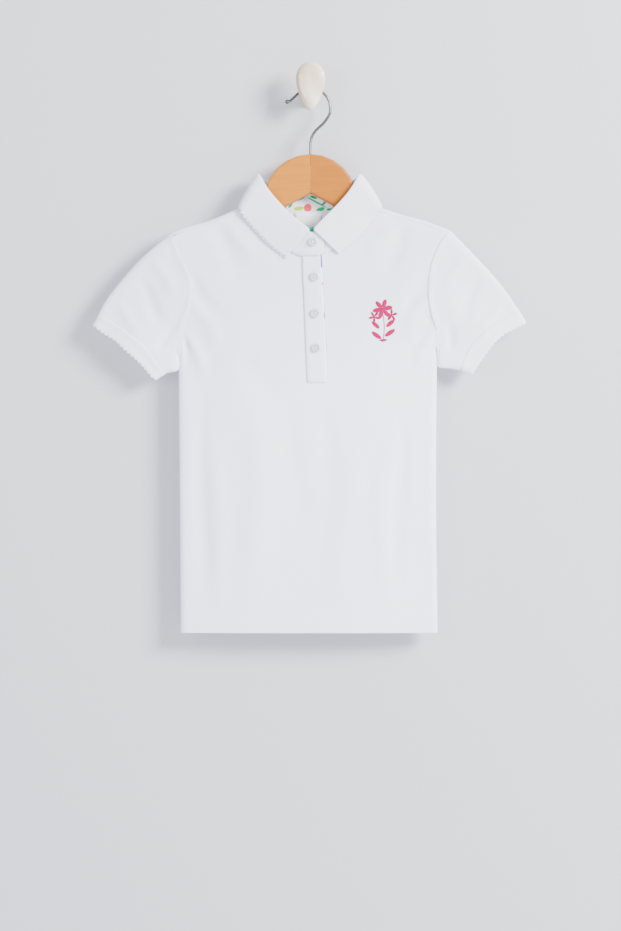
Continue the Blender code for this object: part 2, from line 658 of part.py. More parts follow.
def hanger_arm(side):
    """Half of the hanger, mitred at the middle, its edges rounded by a bevel."""
    sign = -1 if side == "left" else 1
    outline = []
    for turn in (90, 75, 60, 45, 30, 15, 4):
        a = radians(turn)
        outline.append((ARC_X + ARC_R * cos(a), ARC_Z + ARC_R * sin(a)))
    outline += [(s.x, s.z) for s in ARM_TOP + ARM_TIP + ARM_LOW]
    outline[0] = (0.0, ARC_Z + ARC_R)
    outline = [(max(x, GAP / 2) * sign, z) for x, z in outline]
    count = len(outline)
    verts = [(x, MID_Y - WOOD_T / 2, z) for x, z in outline]
    verts += [(x, MID_Y + WOOD_T / 2, z) for x, z in outline]
    faces = [tuple(range(count)), tuple(range(count, 2 * count))]
    for k in range(count):
        n = (k + 1) % count
        faces.append((k, n, n + count, k + count))
    made = place("hanger_arm_" + side, verts, faces, WOOD)
    mesh = made.data
    bevel = made.modifiers.new("rounded edges", "BEVEL")
    bevel.width = 2.6 * MM
    bevel.segments = 2
    bevel.limit_method = "WEIGHT"
    weights = mesh.attributes.new("bevel_weight_edge", "FLOAT", "EDGE")
    for edge in mesh.edges:
        a, b = (mesh.vertices[i].co for i in edge.vertices)
        along_wood = abs(a.y - b.y) < 1e-6
        mitre = abs(a.x) < 0.001 and abs(b.x) < 0.001
        weights.data[edge.index].value = 1.0 if along_wood and not mitre else 0.0
    drill_mesh = bpy.data.meshes.new("stem_drill_" + side)
    bm = bmesh.new()
    top = ARC_Z + ARC_R
    bmesh.ops.create_cone(bm, cap_ends=True, segments=12, radius1=STEM_R * MM,
                          radius2=STEM_R * MM, depth=2 * STEM_DEPTH * MM,
                          matrix=Matrix.Translation(Vector((0, MID_Y, top)) * MM))
    bm.to_mesh(drill_mesh)
    bm.free()
    drill = bpy.data.objects.new("stem_drill_" + side, drill_mesh)
    bpy.context.collection.objects.link(drill)
    drill.hide_render = True
    drill.display_type = "WIRE"
    cut = made.modifiers.new("stem hole", "BOOLEAN")
    cut.object = drill
    cut.solver = "EXACT"
    return made


HOOK_TAIL = [Spot(-27.0, -7.0), Spot(-23.8, -6.0), Spot(-19.4, -2.2), Spot(-15.6, 1.6)]
HOOK_SHANK = [Spot(23.3, -14.0), Spot(22.2, -21.5), Spot(16.0, -31.0), Spot(9.0, -37.6),
              Spot(4.3, -42.7), Spot(1.0, -49.0), Spot(0.0, -56.0),
              Spot(0.0, ARC_Z + ARC_R - STEM_DEPTH + GAP)]


def hanger_hook():
    """Bent wire: a tail, the round crown on the post, and the shank into the wood."""
    path = [tuple(p) for p in walk(HOOK_TAIL, np.linspace(0, 1, 5))][:-1]
    for turn in range(136, -1, -17):
        a = radians(turn)
        path.append((CROWN_X + CROWN_R * cos(a), CROWN_Z + CROWN_R * sin(a)))
    path += [tuple(p) for p in walk(HOOK_SHANK, np.linspace(0, 1, 15))][1:]
    curve = bpy.data.curves.new("hanger_hook", "CURVE")
    curve.dimensions = "3D"
    curve.bevel_depth = WIRE_R * MM
    curve.bevel_resolution = 2
    curve.use_fill_caps = True
    spline = curve.splines.new("POLY")
    spline.points.add(len(path) - 1)
    for point, (x, z) in zip(spline.points, path):
        point.co = (x * MM, MID_Y * MM, z * MM, 1.0)
    curve.materials.append(STEEL)
    made = bpy.data.objects.new("hanger_hook", curve)
    bpy.context.collection.objects.link(made)
    return made


def wall_hook():
    """A turned base and post, and the drop-shaped cap on its end."""
    profile = [(BASE_R, 0.0), (BASE_R, -BASE_T + 0.8), (BASE_R - 0.8, -BASE_T),
               (POST_R, -BASE_T), (POST_R, -POST_LEN)]
    turned("wall_hook_post", profile, (0.0, 0.0), 0.0, 32, GLAZE)
    outline = drop_outline(28)
    back, front = -POST_LEN - GAP, -POST_LEN - GAP - DROP_T
    verts, faces = [], []
    rings = [(0.90, back), (0.985, back - 0.9), (1.0, back - 2.2), (0.94, back - 4.2),
             (0.80, back - 5.8), (0.55, front + 0.9), (0.25, front + 0.1)]
    middle = (0.0, DROP_WIDE_Z - 4.0)
    for scale, y in rings:
        for x, z in outline:
            verts.append((middle[0] + (x - middle[0]) * scale, y,
                          middle[1] + (z - middle[1]) * scale))
    count = len(outline)
    for j in range(len(rings) - 1):
        for k in range(count):
            n = (k + 1) % count
            faces.append((j * count + k, j * count + n, (j + 1) * count + n,
                          (j + 1) * count + k))
    faces.append(tuple(range(count)))
    faces.append(tuple((len(rings) - 1) * count + k for k in range(count)))
    place("wall_hook_cap", verts, faces, GLAZE)


def drop_outline(count):
    """A drop: round above its widest line, drawn in to a blunt tip below."""
    points = []
    half = DROP_W / 2
    rise, fall = DROP_TOP_Z - DROP_WIDE_Z, DROP_H - (DROP_TOP_Z - DROP_WIDE_Z)
    for k in range(count):
        a = 2 * pi * k / count
        x, z = half * cos(a), sin(a)
        if z >= 0:
            points.append((x, DROP_WIDE_Z + rise * z))
        else:
            points.append((x * (1 - 0.35 * z * z), DROP_WIDE_Z + fall * z))
    return points


front_panel()
back_panel()
for hand in ("left", "right"):
    sleeve(hand)
    cuff(hand)
    hanger_arm(hand)
collar_stand()
collar_leaf()
placket_top()
placket_under()
neck_facing()
neck_label()
for index, spot in enumerate(BUTTONS, 1):
    button(index, spot)
hanger_hook()
wall_hook()
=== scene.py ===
# %% [markdown]
# A child's white polo shirt hangs flat on a wooden hanger, and the hanger's wire hook hangs
# on a drop-shaped wall hook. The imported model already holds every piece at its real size,
# as plain solids. This lesson gives each piece its cloth, wood, wire or glaze, its creases,
# seams and stitches, and then sets up the wall, the light and the camera.

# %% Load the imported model
from math import cos, pi, radians, sin, sqrt

import bmesh
import bpy
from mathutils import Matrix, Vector
from mathutils.bvhtree import BVHTree


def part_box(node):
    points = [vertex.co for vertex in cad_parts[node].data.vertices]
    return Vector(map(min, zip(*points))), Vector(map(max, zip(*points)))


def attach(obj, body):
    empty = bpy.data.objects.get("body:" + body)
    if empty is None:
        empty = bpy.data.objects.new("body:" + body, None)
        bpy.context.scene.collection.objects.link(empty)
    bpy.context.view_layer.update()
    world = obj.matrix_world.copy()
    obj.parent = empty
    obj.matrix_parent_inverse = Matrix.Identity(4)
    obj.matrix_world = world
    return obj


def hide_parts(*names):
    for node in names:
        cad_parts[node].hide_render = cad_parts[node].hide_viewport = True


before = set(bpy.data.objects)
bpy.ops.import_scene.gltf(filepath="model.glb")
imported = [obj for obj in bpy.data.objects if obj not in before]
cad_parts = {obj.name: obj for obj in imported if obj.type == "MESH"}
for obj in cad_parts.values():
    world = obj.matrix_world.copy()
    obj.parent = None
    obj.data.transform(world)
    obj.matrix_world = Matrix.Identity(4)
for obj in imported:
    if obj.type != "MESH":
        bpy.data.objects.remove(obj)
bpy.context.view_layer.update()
MM = 0.001
MID_Y = -20.0 * MM        # the plane in which the hanger hangs

# %% [markdown]
# Operators act on whatever is selected, and the loaded model is selected all over. A small
# helper clears the selection and picks one object, so each step touches only its own piece.


# %% Helpers for selecting
def pick(obj):
    """Select one object alone, and make it the active one."""
    bpy.ops.object.select_all(action="DESELECT")
    obj.select_set(True)
    bpy.context.view_layer.objects.active = obj
    return obj


def link(obj):
    """Put a new object into the scene."""
    bpy.context.collection.objects.link(obj)
    return obj


def smooth(t):
    """A soft step, from 0 at nought to 1 at one."""
    t = min(max(t, 0.0), 1.0)
    return t * t * (3 - 2 * t)


# %% [markdown]
# White cotton is never a flat white. The knit casts tiny shadows, the dye is a touch blue,
# and large soft patches differ a little. The effects that several cloths share are node
# groups with named inputs and outputs: "knit" gives a height for a knitted surface at a
# chosen stitch size, and a painted shade that makes the colour a little darker in the
# hollows between its loops, and "cloudy" gives a soft large-scale mask.


# %% Node helpers
def group_of(name, inputs, outputs):
    """An empty node group. An input with no value is a vector, the others are numbers."""
    tree = bpy.data.node_groups.new(name, "ShaderNodeTree")
    for label, value in inputs:
        kind = "NodeSocketVector" if value is None else "NodeSocketFloat"
        made = tree.interface.new_socket(label, in_out="INPUT", socket_type=kind)
        if value is not None:
            made.default_value = value
    for label in outputs:
        tree.interface.new_socket(label, in_out="OUTPUT", socket_type="NodeSocketFloat")
    return tree, tree.nodes.new("NodeGroupInput"), tree.nodes.new("NodeGroupOutput")


def node(tree, kind, inputs=None, **settings):
    """A new node with its settings. Each input is linked to a socket or given a value."""
    made = tree.nodes.new(kind)
    for key, value in settings.items():
        setattr(made, key, value)
    for key, value in (inputs or {}).items():
        if isinstance(value, bpy.types.NodeSocket):
            tree.links.new(value, made.inputs[key])
        else:
            made.inputs[key].default_value = value
    return made


def maths(tree, operation, a, b=0.5, c=0.5):
    """The result of one sum."""
    made = node(tree, "ShaderNodeMath", {0: a, 1: b, 2: c}, operation=operation)
    return made.outputs[0]


def knit_group():
    """Rows of small raised loops, every second row shifted by half a loop."""
    tree, inside, outside = group_of(
        "knit", [("Vector", None), ("Loop size", 0.0011), ("Unevenness", 0.2)],
        ["Height", "Painted shade"])
    parts = node(tree, "ShaderNodeSeparateXYZ", {0: inside.outputs["Vector"]})
    across = maths(tree, "DIVIDE", parts.outputs["X"], inside.outputs["Loop size"])
    down = maths(tree, "DIVIDE", parts.outputs["Z"], inside.outputs["Loop size"])
    row = maths(tree, "FLOOR", down)
    shifted = maths(tree, "ADD", across, maths(tree, "MULTIPLY", row, 0.5))
    wave_x = maths(tree, "COSINE", maths(tree, "MULTIPLY", shifted, 2 * pi))
    wave_z = maths(tree, "COSINE", maths(tree, "MULTIPLY", maths(
        tree, "SUBTRACT", maths(tree, "FRACT", down), 0.5), 2 * pi))
    loops = maths(tree, "MULTIPLY_ADD", maths(tree, "ADD", wave_x, wave_z), 0.25, 0.5)
    noise = node(tree, "ShaderNodeTexNoise", {"Vector": inside.outputs["Vector"],
                                              "Scale": 900.0, "Detail": 2.0})
    rough = maths(tree, "MULTIPLY", noise.outputs["Fac"], inside.outputs["Unevenness"])
    height = maths(tree, "ADD", loops, rough)
    tree.links.new(height, outside.inputs["Height"])
    # Painted shade: the colour is a little darker in the hollows between the loops.
    tree.links.new(maths(tree, "MULTIPLY_ADD", loops, 0.10, 0.90), outside.inputs["Painted shade"])
    return tree


def cloudy_group():
    """A soft mask that drifts over the whole piece."""
    tree, inside, outside = group_of("cloudy", [("Vector", None), ("Scale", 9.0)], ["Mask"])
    noise = node(tree, "ShaderNodeTexNoise", {"Vector": inside.outputs["Vector"],
                                              "Scale": inside.outputs["Scale"],
                                              "Detail": 3.0})
    tree.links.new(noise.outputs["Fac"], outside.inputs["Mask"])
    return tree


KNIT = knit_group()
CLOUDY = cloudy_group()
print("node groups:", KNIT.name, CLOUDY.name)


# %% [markdown]
# Every material starts from the same plain shader. Its colour and its bump are then fed from
# Object coordinates, which stay on the piece wherever it is seen from, and need no unwrapping.


# %% Start of every material
def new_material(name, roughness, metallic=0.0):
    """A material, its node tree and its shader."""
    made = bpy.data.materials.new(name)
    made.use_nodes = True
    shader = made.node_tree.nodes["Principled BSDF"]
    shader.inputs["Roughness"].default_value = roughness
    shader.inputs["Metallic"].default_value = metallic
    return made, made.node_tree, shader


def plain(name, roughness, colour, metallic=0.0, **inputs):
    """A material of one colour, for thread, wire and other things too fine for a pattern."""
    made, _, shader = new_material(name, roughness, metallic)
    shader.inputs["Base Color"].default_value = (*colour, 1)
    for label, value in inputs.items():
        shader.inputs[label.replace("_", " ")].default_value = value
    return made


def object_place(tree):
    return node(tree, "ShaderNodeTexCoord").outputs["Object"]


def use_group(tree, group, inputs):
    return node(tree, "ShaderNodeGroup", inputs, node_tree=group)


def mix(tree, factor, first, second, blend="MIX"):
    """A mix of two colours. On this node, 0, 6, 7 and output 2 are the colour sockets."""
    made = node(tree, "ShaderNodeMix", {0: factor, 6: first, 7: second},
                data_type="RGBA", blend_type=blend)
    return made.outputs[2]


def darken(tree, factor, colour, shade):
    """A colour multiplied by a grey of the given shade."""
    grey = node(tree, "ShaderNodeCombineColor", {0: shade, 1: shade, 2: shade})
    return mix(tree, factor, colour, grey.outputs[0], "MULTIPLY")


def bump(tree, shader, height, strength, distance):
    made = node(tree, "ShaderNodeBump", {"Height": height, "Strength": strength,
                                         "Distance": distance})
    tree.links.new(made.outputs["Normal"], shader.inputs["Normal"])


# %% [markdown]
# The hung shirt is not one white: the upper chest lies in shade under the collar and the
# shoulders. A soft ramp along the height paints that shade into the colour, darker and bluer
# towards the top.

# %% The white cloths
# Painted shade of the upper chest: its colour and its share at the top, then where it starts and
# where it is full.
CHEST_PAINTED_SHADE, CHEST_SHADE_SHARE = (0.62, 0.60, 0.70), 0.42
CHEST_SHADE_STARTS, CHEST_SHADE_FULL = -0.36, -0.17          # metres of height


def cloth(name, light, dark, loop, depth):
    """White knitted cloth: loops for the bump, two close whites in soft patches, and painted
    shade.
    """
    made, tree, shader = new_material(name, 0.88)
    shader.inputs["Sheen Weight"].default_value = 0.12
    shader.inputs["Sheen Roughness"].default_value = 0.6
    shader.inputs["Specular IOR Level"].default_value = 0.25
    place = object_place(tree)
    loops = use_group(tree, KNIT, {"Vector": place, "Loop size": loop})
    patch = use_group(tree, CLOUDY, {"Vector": place, "Scale": 8.0})
    tone = mix(tree, patch.outputs["Mask"], (*dark, 1), (*light, 1))
    # Painted shade: up the chest, the colour is mixed towards a darker, bluer grey.
    parts = node(tree, "ShaderNodeSeparateXYZ", {0: place})
    chest_shade = node(tree, "ShaderNodeMapRange", {"Value": parts.outputs["Z"],
                                              "From Min": CHEST_SHADE_STARTS,
                                              "From Max": CHEST_SHADE_FULL,
                                              "To Min": 0.0, "To Max": CHEST_SHADE_SHARE},
                 interpolation_type="SMOOTHSTEP")
    tone = mix(tree, chest_shade.outputs["Result"], tone, (*CHEST_PAINTED_SHADE, 1))
    # The knit's painted shade darkens the colour between the loops, at half strength.
    tree.links.new(darken(tree, 0.5, tone, loops.outputs["Painted shade"]),
                   shader.inputs["Base Color"])
    bump(tree, shader, loops.outputs["Height"], 0.35, depth)
    return made


PIQUE = cloth("white pique", (0.885, 0.88, 1.0), (0.84, 0.835, 0.98), 0.0012, 0.00025)
RIB = cloth("white flat knit", (0.90, 0.895, 1.0), (0.86, 0.855, 0.98), 0.0009, 0.0002)
print("cloths:", PIQUE.name, RIB.name)

# %% [markdown]
# The hung cloth is nearly flat, so its life is in small soft creases. Each crease is a line
# from one point of the front to another with a width and a height in millimetres. Heights
# below nought are troughs. A crease is full in its middle, runs out towards both ends and
# wanders a little on its way. The front and the back have their own lists, because the
# back of a hanging shirt folds by itself.

# %% Creases of the front and of the back
FRONT_CREASES = [                    # x0, z0, x1, z1, width, height
    (-120, -150, -70, -215, 17, -1.5), (-100, -145, -62, -190, 12, 0.9),
    (118, -150, 74, -212, 16, -1.4), (96, -146, 66, -186, 11, 0.8),
    (-139, -205, -112, -262, 14, -1.5), (-134, -236, -104, -300, 13, 1.0),
    (138, -203, 112, -258, 14, -1.4), (133, -232, 106, -292, 13, 1.0),
    (-147, -272, -118, -330, 10, 1.2), (146, -268, 120, -322, 10, 1.1),
    (132, -256, 140, -264, 4, -0.6), (-148, -276, -140, -318, 6, -0.9),
    (-126, -330, -122, -610, 15, -1.3), (-106, -390, -110, -614, 16, 0.9),
    (104, -345, 100, -612, 15, -1.2), (84, -400, 88, -616, 17, 0.8),
    (-60, -350, -70, -600, 28, 1.0), (48, -380, 40, -610, 26, 1.0),
    (-24, -352, -14, -520, 20, -0.8), (12, -345, 22, -470, 18, -0.7),
    (-88, -300, -30, -352, 22, -0.8), (84, -310, 34, -350, 20, -0.7),
    (-204, -208, -168, -272, 11, -1.2), (-226, -232, -196, -284, 9, 0.8),
    (-184, -186, -156, -236, 10, 0.9), (-176, -300, -160, -262, 9, -0.9),
    (202, -206, 168, -264, 11, -1.2), (224, -232, 198, -278, 9, 0.8),
    (180, -184, 154, -232, 10, 0.9), (160, -300, 166, -262, 8, -0.9),
]
BACK_CREASES = [
    (-60, -142, -30, -240, 22, 1.3), (58, -140, 26, -236, 22, 1.3),
    (-8, -150, -2, -330, 26, 1.2), (-112, -160, -70, -250, 18, -1.3),
    (110, -158, 72, -244, 18, -1.3), (-140, -212, -104, -290, 15, 1.2),
    (138, -210, 108, -284, 15, 1.1), (-118, -330, -112, -612, 18, -1.2),
    (-66, -300, -58, -612, 24, 1.2), (-20, -340, -26, -600, 20, -1.1),
    (30, -320, 36, -612, 22, 1.1), (82, -310, 88, -610, 20, -1.3),
    (122, -350, 120, -600, 14, 0.9), (-204, -208, -166, -270, 12, 1.1),
    (202, -206, 168, -264, 12, 1.1), (-180, -190, -158, -250, 10, -1.0),
    (182, -190, 158, -246, 10, -1.0),
]


def crease_height(x, z, creases):
    """Height in mm of all creases at a point, x and z in mm."""
    rise = 0.0
    for number, (x0, z0, x1, z1, width, height) in enumerate(creases):
        ux, uz = x1 - x0, z1 - z0
        length = sqrt(ux * ux + uz * uz)
        t = ((x - x0) * ux + (z - z0) * uz) / (length * length)
        if not 0 < t < 1:
            continue
        wander = 0.22 * width * sin(2.3 * number + 5.1 * t)
        off = ((x - x0) * uz - (z - z0) * ux) / length + wander
        broad = width * (0.75 + 0.5 * t)
        rise += height * smooth(1 - abs(off) / broad) * smooth(3 * t) * smooth(3 * (1 - t))
    return rise


CREASE_SHARE = 1.6       # every crease is this many times its listed height
HEM_FOLD_Z = -604.5      # the hem is turned up to here and doubles the cloth
HEM_STEP, HEM_RUN = 0.55, 2.5            # the step's height, and how far it takes to rise
WOOD_FOOT_Z, WOOD_HALF = -260.0, 110.0   # above and within these, wood is close behind
WOOD_SHARE = 0.75                        # troughs lose this much of their depth there


def ripple(x, z, seed):
    """A small uneven drift of the whole sheet, so that no part is a ruled surface."""
    return (0.22 * sin(x / 31 + seed) * sin(z / 47 + 1.7 * seed)
            + 0.12 * sin(x / 13 + z / 29 + 2.1 * seed))


print("creases:", len(FRONT_CREASES), "in front,", len(BACK_CREASES), "behind")

# %% [markdown]
# The outlines below repeat the cut of the shirt as (x, z) in millimetres, seen from the
# front. A seam is a smooth line through few points, and seams and stitch rows follow it.

# %% Lines of the cut
SHOULDER_LEFT = [(-66, -125.5), (-87.6, -132.2), (-110.8, -143.8), (-140.9, -152),
                 (-158, -158)]
SHOULDER_RIGHT = [(63, -124), (86.4, -132.2), (108.5, -139.9), (130, -144.4), (158, -155)]
ARMHOLE_LEFT = [(-161.5, -161), (-152.5, -184), (-139.8, -210), (-136, -226),
                (-141.5, -250), (-150, -268)]
ARMHOLE_RIGHT = [(160.6, -158.5), (150.2, -171), (139.5, -197), (136.2, -224), (138, -248),
                 (144, -266)]
CUFF_LEFT = [(-244, -255.5), (-232, -262), (-214, -273.8), (-193, -291), (-179.2, -308.6),
             (-171, -321)]
CUFF_RIGHT = [(240.5, -252), (219.8, -261), (203.6, -273.8), (187.3, -288.8),
              (178.1, -306.2), (175, -316)]


def curve(points, count=40):
    """A smooth line through the points, as count points."""
    pts = [Vector(p) for p in points]
    pts = [2 * pts[0] - pts[1]] + pts + [2 * pts[-1] - pts[-2]]
    spans = len(pts) - 3
    made = []
    for k in range(count):
        at = min(k / (count - 1) * spans, spans - 1e-6)
        i = int(at)
        t = at - i
        a, b, c, d = pts[i:i + 4]
        made.append(0.5 * (2 * b + (c - a) * t + (2 * a - 5 * b + 4 * c - d) * t * t
                           + (3 * b - a - 3 * c + d) * t ** 3))
    return made


def beside(line, gap):
    """The same line moved sideways, to the left of its direction for a gap above nought."""
    made = []
    for k, point in enumerate(line):
        ahead = line[min(k + 1, len(line) - 1)] - line[max(k - 1, 0)]
        ahead.normalize()
        made.append(point + Vector((-ahead.y, ahead.x)) * gap)
    return made


# %% [markdown]
# A cloth piece starts as a copy of its plain solid, which has two faces and a thin rim. The
# copy's corners are merged, its triangles become quads again and a Subdivision Surface
# rounds it, with the rim held by edge creases. Then every vertex moves along y by the
# creases. Both faces of the cloth move by the same amount, so the wall stays as thick as
# before, and pieces that lie on each other move together.


# %% How a cloth piece is dressed
RIM_HOLD = 0.9           # crease of the rim's edges: 1 keeps them sharp, 0 rounds them off


def side_share(y):
    """-1 in front of the hanger's plane, 1 behind it, and a soft change between."""
    return max(-1.0, min(1.0, (y - MID_Y) / (5.0 * MM)))


def shift_of(point):
    """How far the creases move a point along y, in metres."""
    x, z = point.x / MM, point.z / MM
    share = side_share(point.y)
    creases = FRONT_CREASES if share < 0 else BACK_CREASES
    rise = CREASE_SHARE * crease_height(x, z, creases)
    rise += ripple(x, z, 0.4 if share < 0 else 2.9)
    rise += HEM_STEP * smooth((HEM_FOLD_Z - z) / HEM_RUN)
    near_wood = smooth((z - WOOD_FOOT_Z) / 60.0) * smooth((WOOD_HALF - abs(x)) / 40.0)
    if rise < 0:
        rise *= 1 - WOOD_SHARE * near_wood
    return share * rise * MM


def lip(point, seam):
    """A seam allowance below the cloth lifts it by a little beside its seam, in metres."""
    lines, height, width = seam
    spot = Vector((point.x, point.z)) / MM
    away = width
    for line in lines:
        for a, b in zip(line, line[1:]):
            a, b = Vector(a), Vector(b)
            t = max(0.0, min(1.0, (spot - a).dot(b - a) / (b - a).length_squared))
            away = min(away, (a.lerp(b, t) - spot).length)
    return side_share(point.y) * height * smooth((width - away) / (0.6 * width)) * MM


def copy_solid(name, paint, levels):
    """The plain solid as a smooth piece of its own, ready to be shaped."""
    made = link(bpy.data.objects.new("cloth_" + name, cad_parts[name].data.copy()))
    made.data.materials.clear()
    made.data.materials.append(paint)
    pick(made)
    bpy.ops.object.mode_set(mode="EDIT")
    bpy.ops.mesh.select_all(action="SELECT")
    bpy.ops.mesh.remove_doubles(threshold=0.02 * MM)
    bpy.ops.mesh.tris_convert_to_quads(face_threshold=radians(30), shape_threshold=radians(60))
    bpy.ops.mesh.normals_make_consistent(inside=False)
    bpy.ops.mesh.select_all(action="DESELECT")
    bpy.ops.mesh.edges_select_sharp(sharpness=radians(45))
    bpy.ops.transform.edge_crease(value=RIM_HOLD)
    bpy.ops.object.mode_set(mode="OBJECT")
    rounding = made.modifiers.new("Rounding", "SUBSURF")
    rounding.levels = rounding.render_levels = levels
    bpy.ops.object.modifier_apply(modifier=rounding.name)
    bpy.ops.object.shade_smooth()
    return made


def close_seams(mesh, reach):
    """Rims grow by a hair, so that sewn pieces meet and no gap shows between them.

    A rim's faces look sideways, so their normals have little y."""
    moves = [v.normal * reach * MM * smooth((0.9 - abs(v.normal.y)) / 0.3)
             for v in mesh.vertices]
    for vertex, move in zip(mesh.vertices, moves):
        vertex.co += move


def dress(name, paint, levels=1, reach=0.4, reshape=None, seam=None):
    """A cloth piece with its creases, which stands for its plain solid.

    reshape moves a point in mm, and seam is (lines, height, width) of a raised lip."""
    made = copy_solid(name, paint, levels)
    close_seams(made.data, reach)
    if reshape:
        normals = [v.normal.copy() for v in made.data.vertices]
        for vertex, normal in zip(made.data.vertices, normals):
            vertex.co += Vector(reshape(vertex.co / MM, normal)) * MM
    for vertex in made.data.vertices:
        vertex.co.y += shift_of(vertex.co) + (lip(vertex.co, seam) if seam else 0.0)
    made.data.update()
    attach(made, "root")
    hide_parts(name)
    print(made.name, len(made.data.polygons), "faces")
    return made


# %% [markdown]
# The panels and sleeves are sewn with their seam allowances turned inside, which lifts a low
# lip beside each seam. Where a sleeve's lower fold meets the body, its corner is drawn down
# a little. A cloth simulation could settle such folds too, but here they are only a few
# millimetres deep and have known places, so they are moved by given amounts.

# %% Panels and sleeves
SIDES = ("left", "right")
ARMHOLES = {"left": ARMHOLE_LEFT, "right": ARMHOLE_RIGHT}
CUFF_SEAMS = {"left": CUFF_LEFT, "right": CUFF_RIGHT}
UNDERARM = {"left": ((-158, -312), (3.4, -4.6)),         # place (x, z), and its move
            "right": ((151.5, -309), (-3.0, -3.6))}
UNDERARM_REACH = 15.0


def underarm(side):
    """The fold under the sleeve comes down beside the body before it turns outwards."""
    (x, z), (dx, dz) = UNDERARM[side]

    def move(point, normal):
        away = sqrt((point.x - x) ** 2 + (point.z - z) ** 2)
        share = smooth(1 - away / UNDERARM_REACH)
        return (dx * share, 0, dz * share)
    return move


front = dress("front_panel", PIQUE, 2, reach=0.6,
              seam=([SHOULDER_LEFT, SHOULDER_RIGHT], 0.7, 6.5))
back = dress("back_panel", PIQUE, 2, reach=0.6)
sleeves = [dress("sleeve_" + side, PIQUE, 2, seam=([ARMHOLES[side]], 0.75, 7.0),
                 reshape=underarm(side)) for side in SIDES]

# %% [markdown]
# The trim is dressed in the same way. The cuffs and the collar leaf are flat knit, with
# finer loops. The stand and the placket's upper strip are of the panels' cloth.

# %% Cuffs, collar, stand and the placket's upper strip
cuffs = [dress("cuff_" + side, RIB, 2, seam=([CUFF_SEAMS[side]], 0.5, 8.0))
         for side in SIDES]
collar = dress("collar", RIB, 2)
stand = dress("collar_stand", PIQUE, 1)


HEAD_RISE, HEAD_STARTS_Z = 4.6, -196.0           # how far the strip's head runs up, from where
LAID_DOWN = 0.28                                 # its back comes this much nearer to the front


def placket_fit(point, normal):
    """The strip lies down on the front, and its head runs up under the collar's band."""
    up = HEAD_RISE * smooth((point.z - HEAD_STARTS_Z) / 8.0)
    return (0, LAID_DOWN * smooth((normal.y - 0.2) / 0.5), up)


placket = dress("placket_top", PIQUE, 2, reach=0.0, reshape=placket_fit)

# %% [markdown]
# Small things lie on the cloth: stitches, embroidery, prints. Each is placed by a ray that
# falls on the finished cloth from the front or from behind at a chosen x and z, so it sits
# on the creases and not through them.


# %% Finding the cloth's surface
RAY_START = 0.08         # metres from the hanger's plane, well clear of the cloth


def tree_of(*objects):
    """One search tree over the faces of several pieces."""
    points, faces = [], []
    for obj in objects:
        start = len(points)
        points += [v.co.copy() for v in obj.data.vertices]
        faces += [[start + k for k in face.vertices] for face in obj.data.polygons]
    return BVHTree.FromPolygons(points, faces)


def land(tree, x, z, front=True, lift=0.0):
    """The point on the cloth at (x, z) in mm, and its normal towards the viewer."""
    ahead = -1 if front else 1
    start = Vector((x * MM, MID_Y + ahead * RAY_START, z * MM))
    place, normal, _, _ = tree.ray_cast(start, Vector((0, -ahead, 0)))
    if place is None:
        return None, None
    if normal.y * ahead < 0:
        normal = -normal
    return place + normal * lift * MM, normal


FRONT_TREE = tree_of(front, placket, stand, *sleeves, *cuffs)
BACK_TREE = tree_of(back, *sleeves, *cuffs)
print("surface trees are ready")

# %% [markdown]
# Sewing thread lies on the cloth as a row of short rounded stitches. Each stitch is a small
# spindle: three rings of five corners, and a point at each end, where the thread dives into
# the cloth. Operators could model one stitch, but hundreds have to follow the creased cloth
# at their own slant, so each is built from its two ends. All rows of one seam group become
# one piece.


# %% One stitch
THREAD = plain("white thread", 0.62, (0.90, 0.90, 0.98))


def stitch(bm, a, b, normal, width):
    """One stitch from a to b, proud of the cloth along the normal."""
    along = (b - a).normalized()
    side = along.cross(normal).normalized()
    rings = []
    for t, share in ((0.18, 0.8), (0.5, 1.0), (0.82, 0.8)):
        mid = a.lerp(b, t) + normal * width * 0.28 * share
        rings.append([bm.verts.new(mid + side * width * 0.5 * share * cos(angle)
                                   + normal * width * 0.42 * share * sin(angle))
                      for angle in (0, pi / 3, 2 * pi / 3, pi, 3 * pi / 2)])
    first, last = bm.verts.new(a - normal * 0.1 * width), bm.verts.new(b - normal * 0.1 * width)
    count = len(rings[0])
    for k in range(count):
        n = (k + 1) % count
        bm.faces.new((first, rings[0][n], rings[0][k]))
        bm.faces.new((last, rings[-1][k], rings[-1][n]))
        for low, high in zip(rings, rings[1:]):
            bm.faces.new((low[k], low[n], high[n], high[k]))


def piece_of(bm, name, paint):
    """The points and faces made so far become a piece of the shirt."""
    bmesh.ops.recalc_face_normals(bm, faces=bm.faces)
    mesh = bpy.data.meshes.new(name)
    bm.to_mesh(mesh)
    bm.free()
    mesh.materials.append(paint)
    mesh.shade_smooth()
    made = link(bpy.data.objects.new(name, mesh))
    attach(made, "root")
    print(name, len(mesh.polygons), "faces")
    return made


# %% Rows of stitches
STEEPEST = 1.5           # mm: a stitch whose ends differ more in y would bridge two pieces


def resample(points, step):
    """Points at equal steps along a polyline of (x, z)."""
    out, carry = [Vector(points[0])], 0.0
    for a, b in zip(points, points[1:]):
        a, b = Vector(a), Vector(b)
        length = (b - a).length
        at = step - carry
        while at <= length:
            out.append(a.lerp(b, at / length))
            at += step
        carry = (carry + length) % step
    return out


def stitch_rows(name, tree, lines, pitch=2.6, width=0.42, front=True):
    """A piece made of stitch rows that follow lines of (x, z) on the cloth."""
    bm = bmesh.new()
    for line in lines:
        places = resample(line, pitch * 0.5)
        for k in range(0, len(places) - 1, 2):
            a, normal = land(tree, *places[k], front=front)
            b, _ = land(tree, *places[k + 1], front=front)
            if a is None or b is None or abs(a.y - b.y) > STEEPEST * MM:
                continue
            longer = (b - a) * 0.2
            stitch(bm, a - longer, b + longer, normal, width * MM)
    return piece_of(bm, name, THREAD)


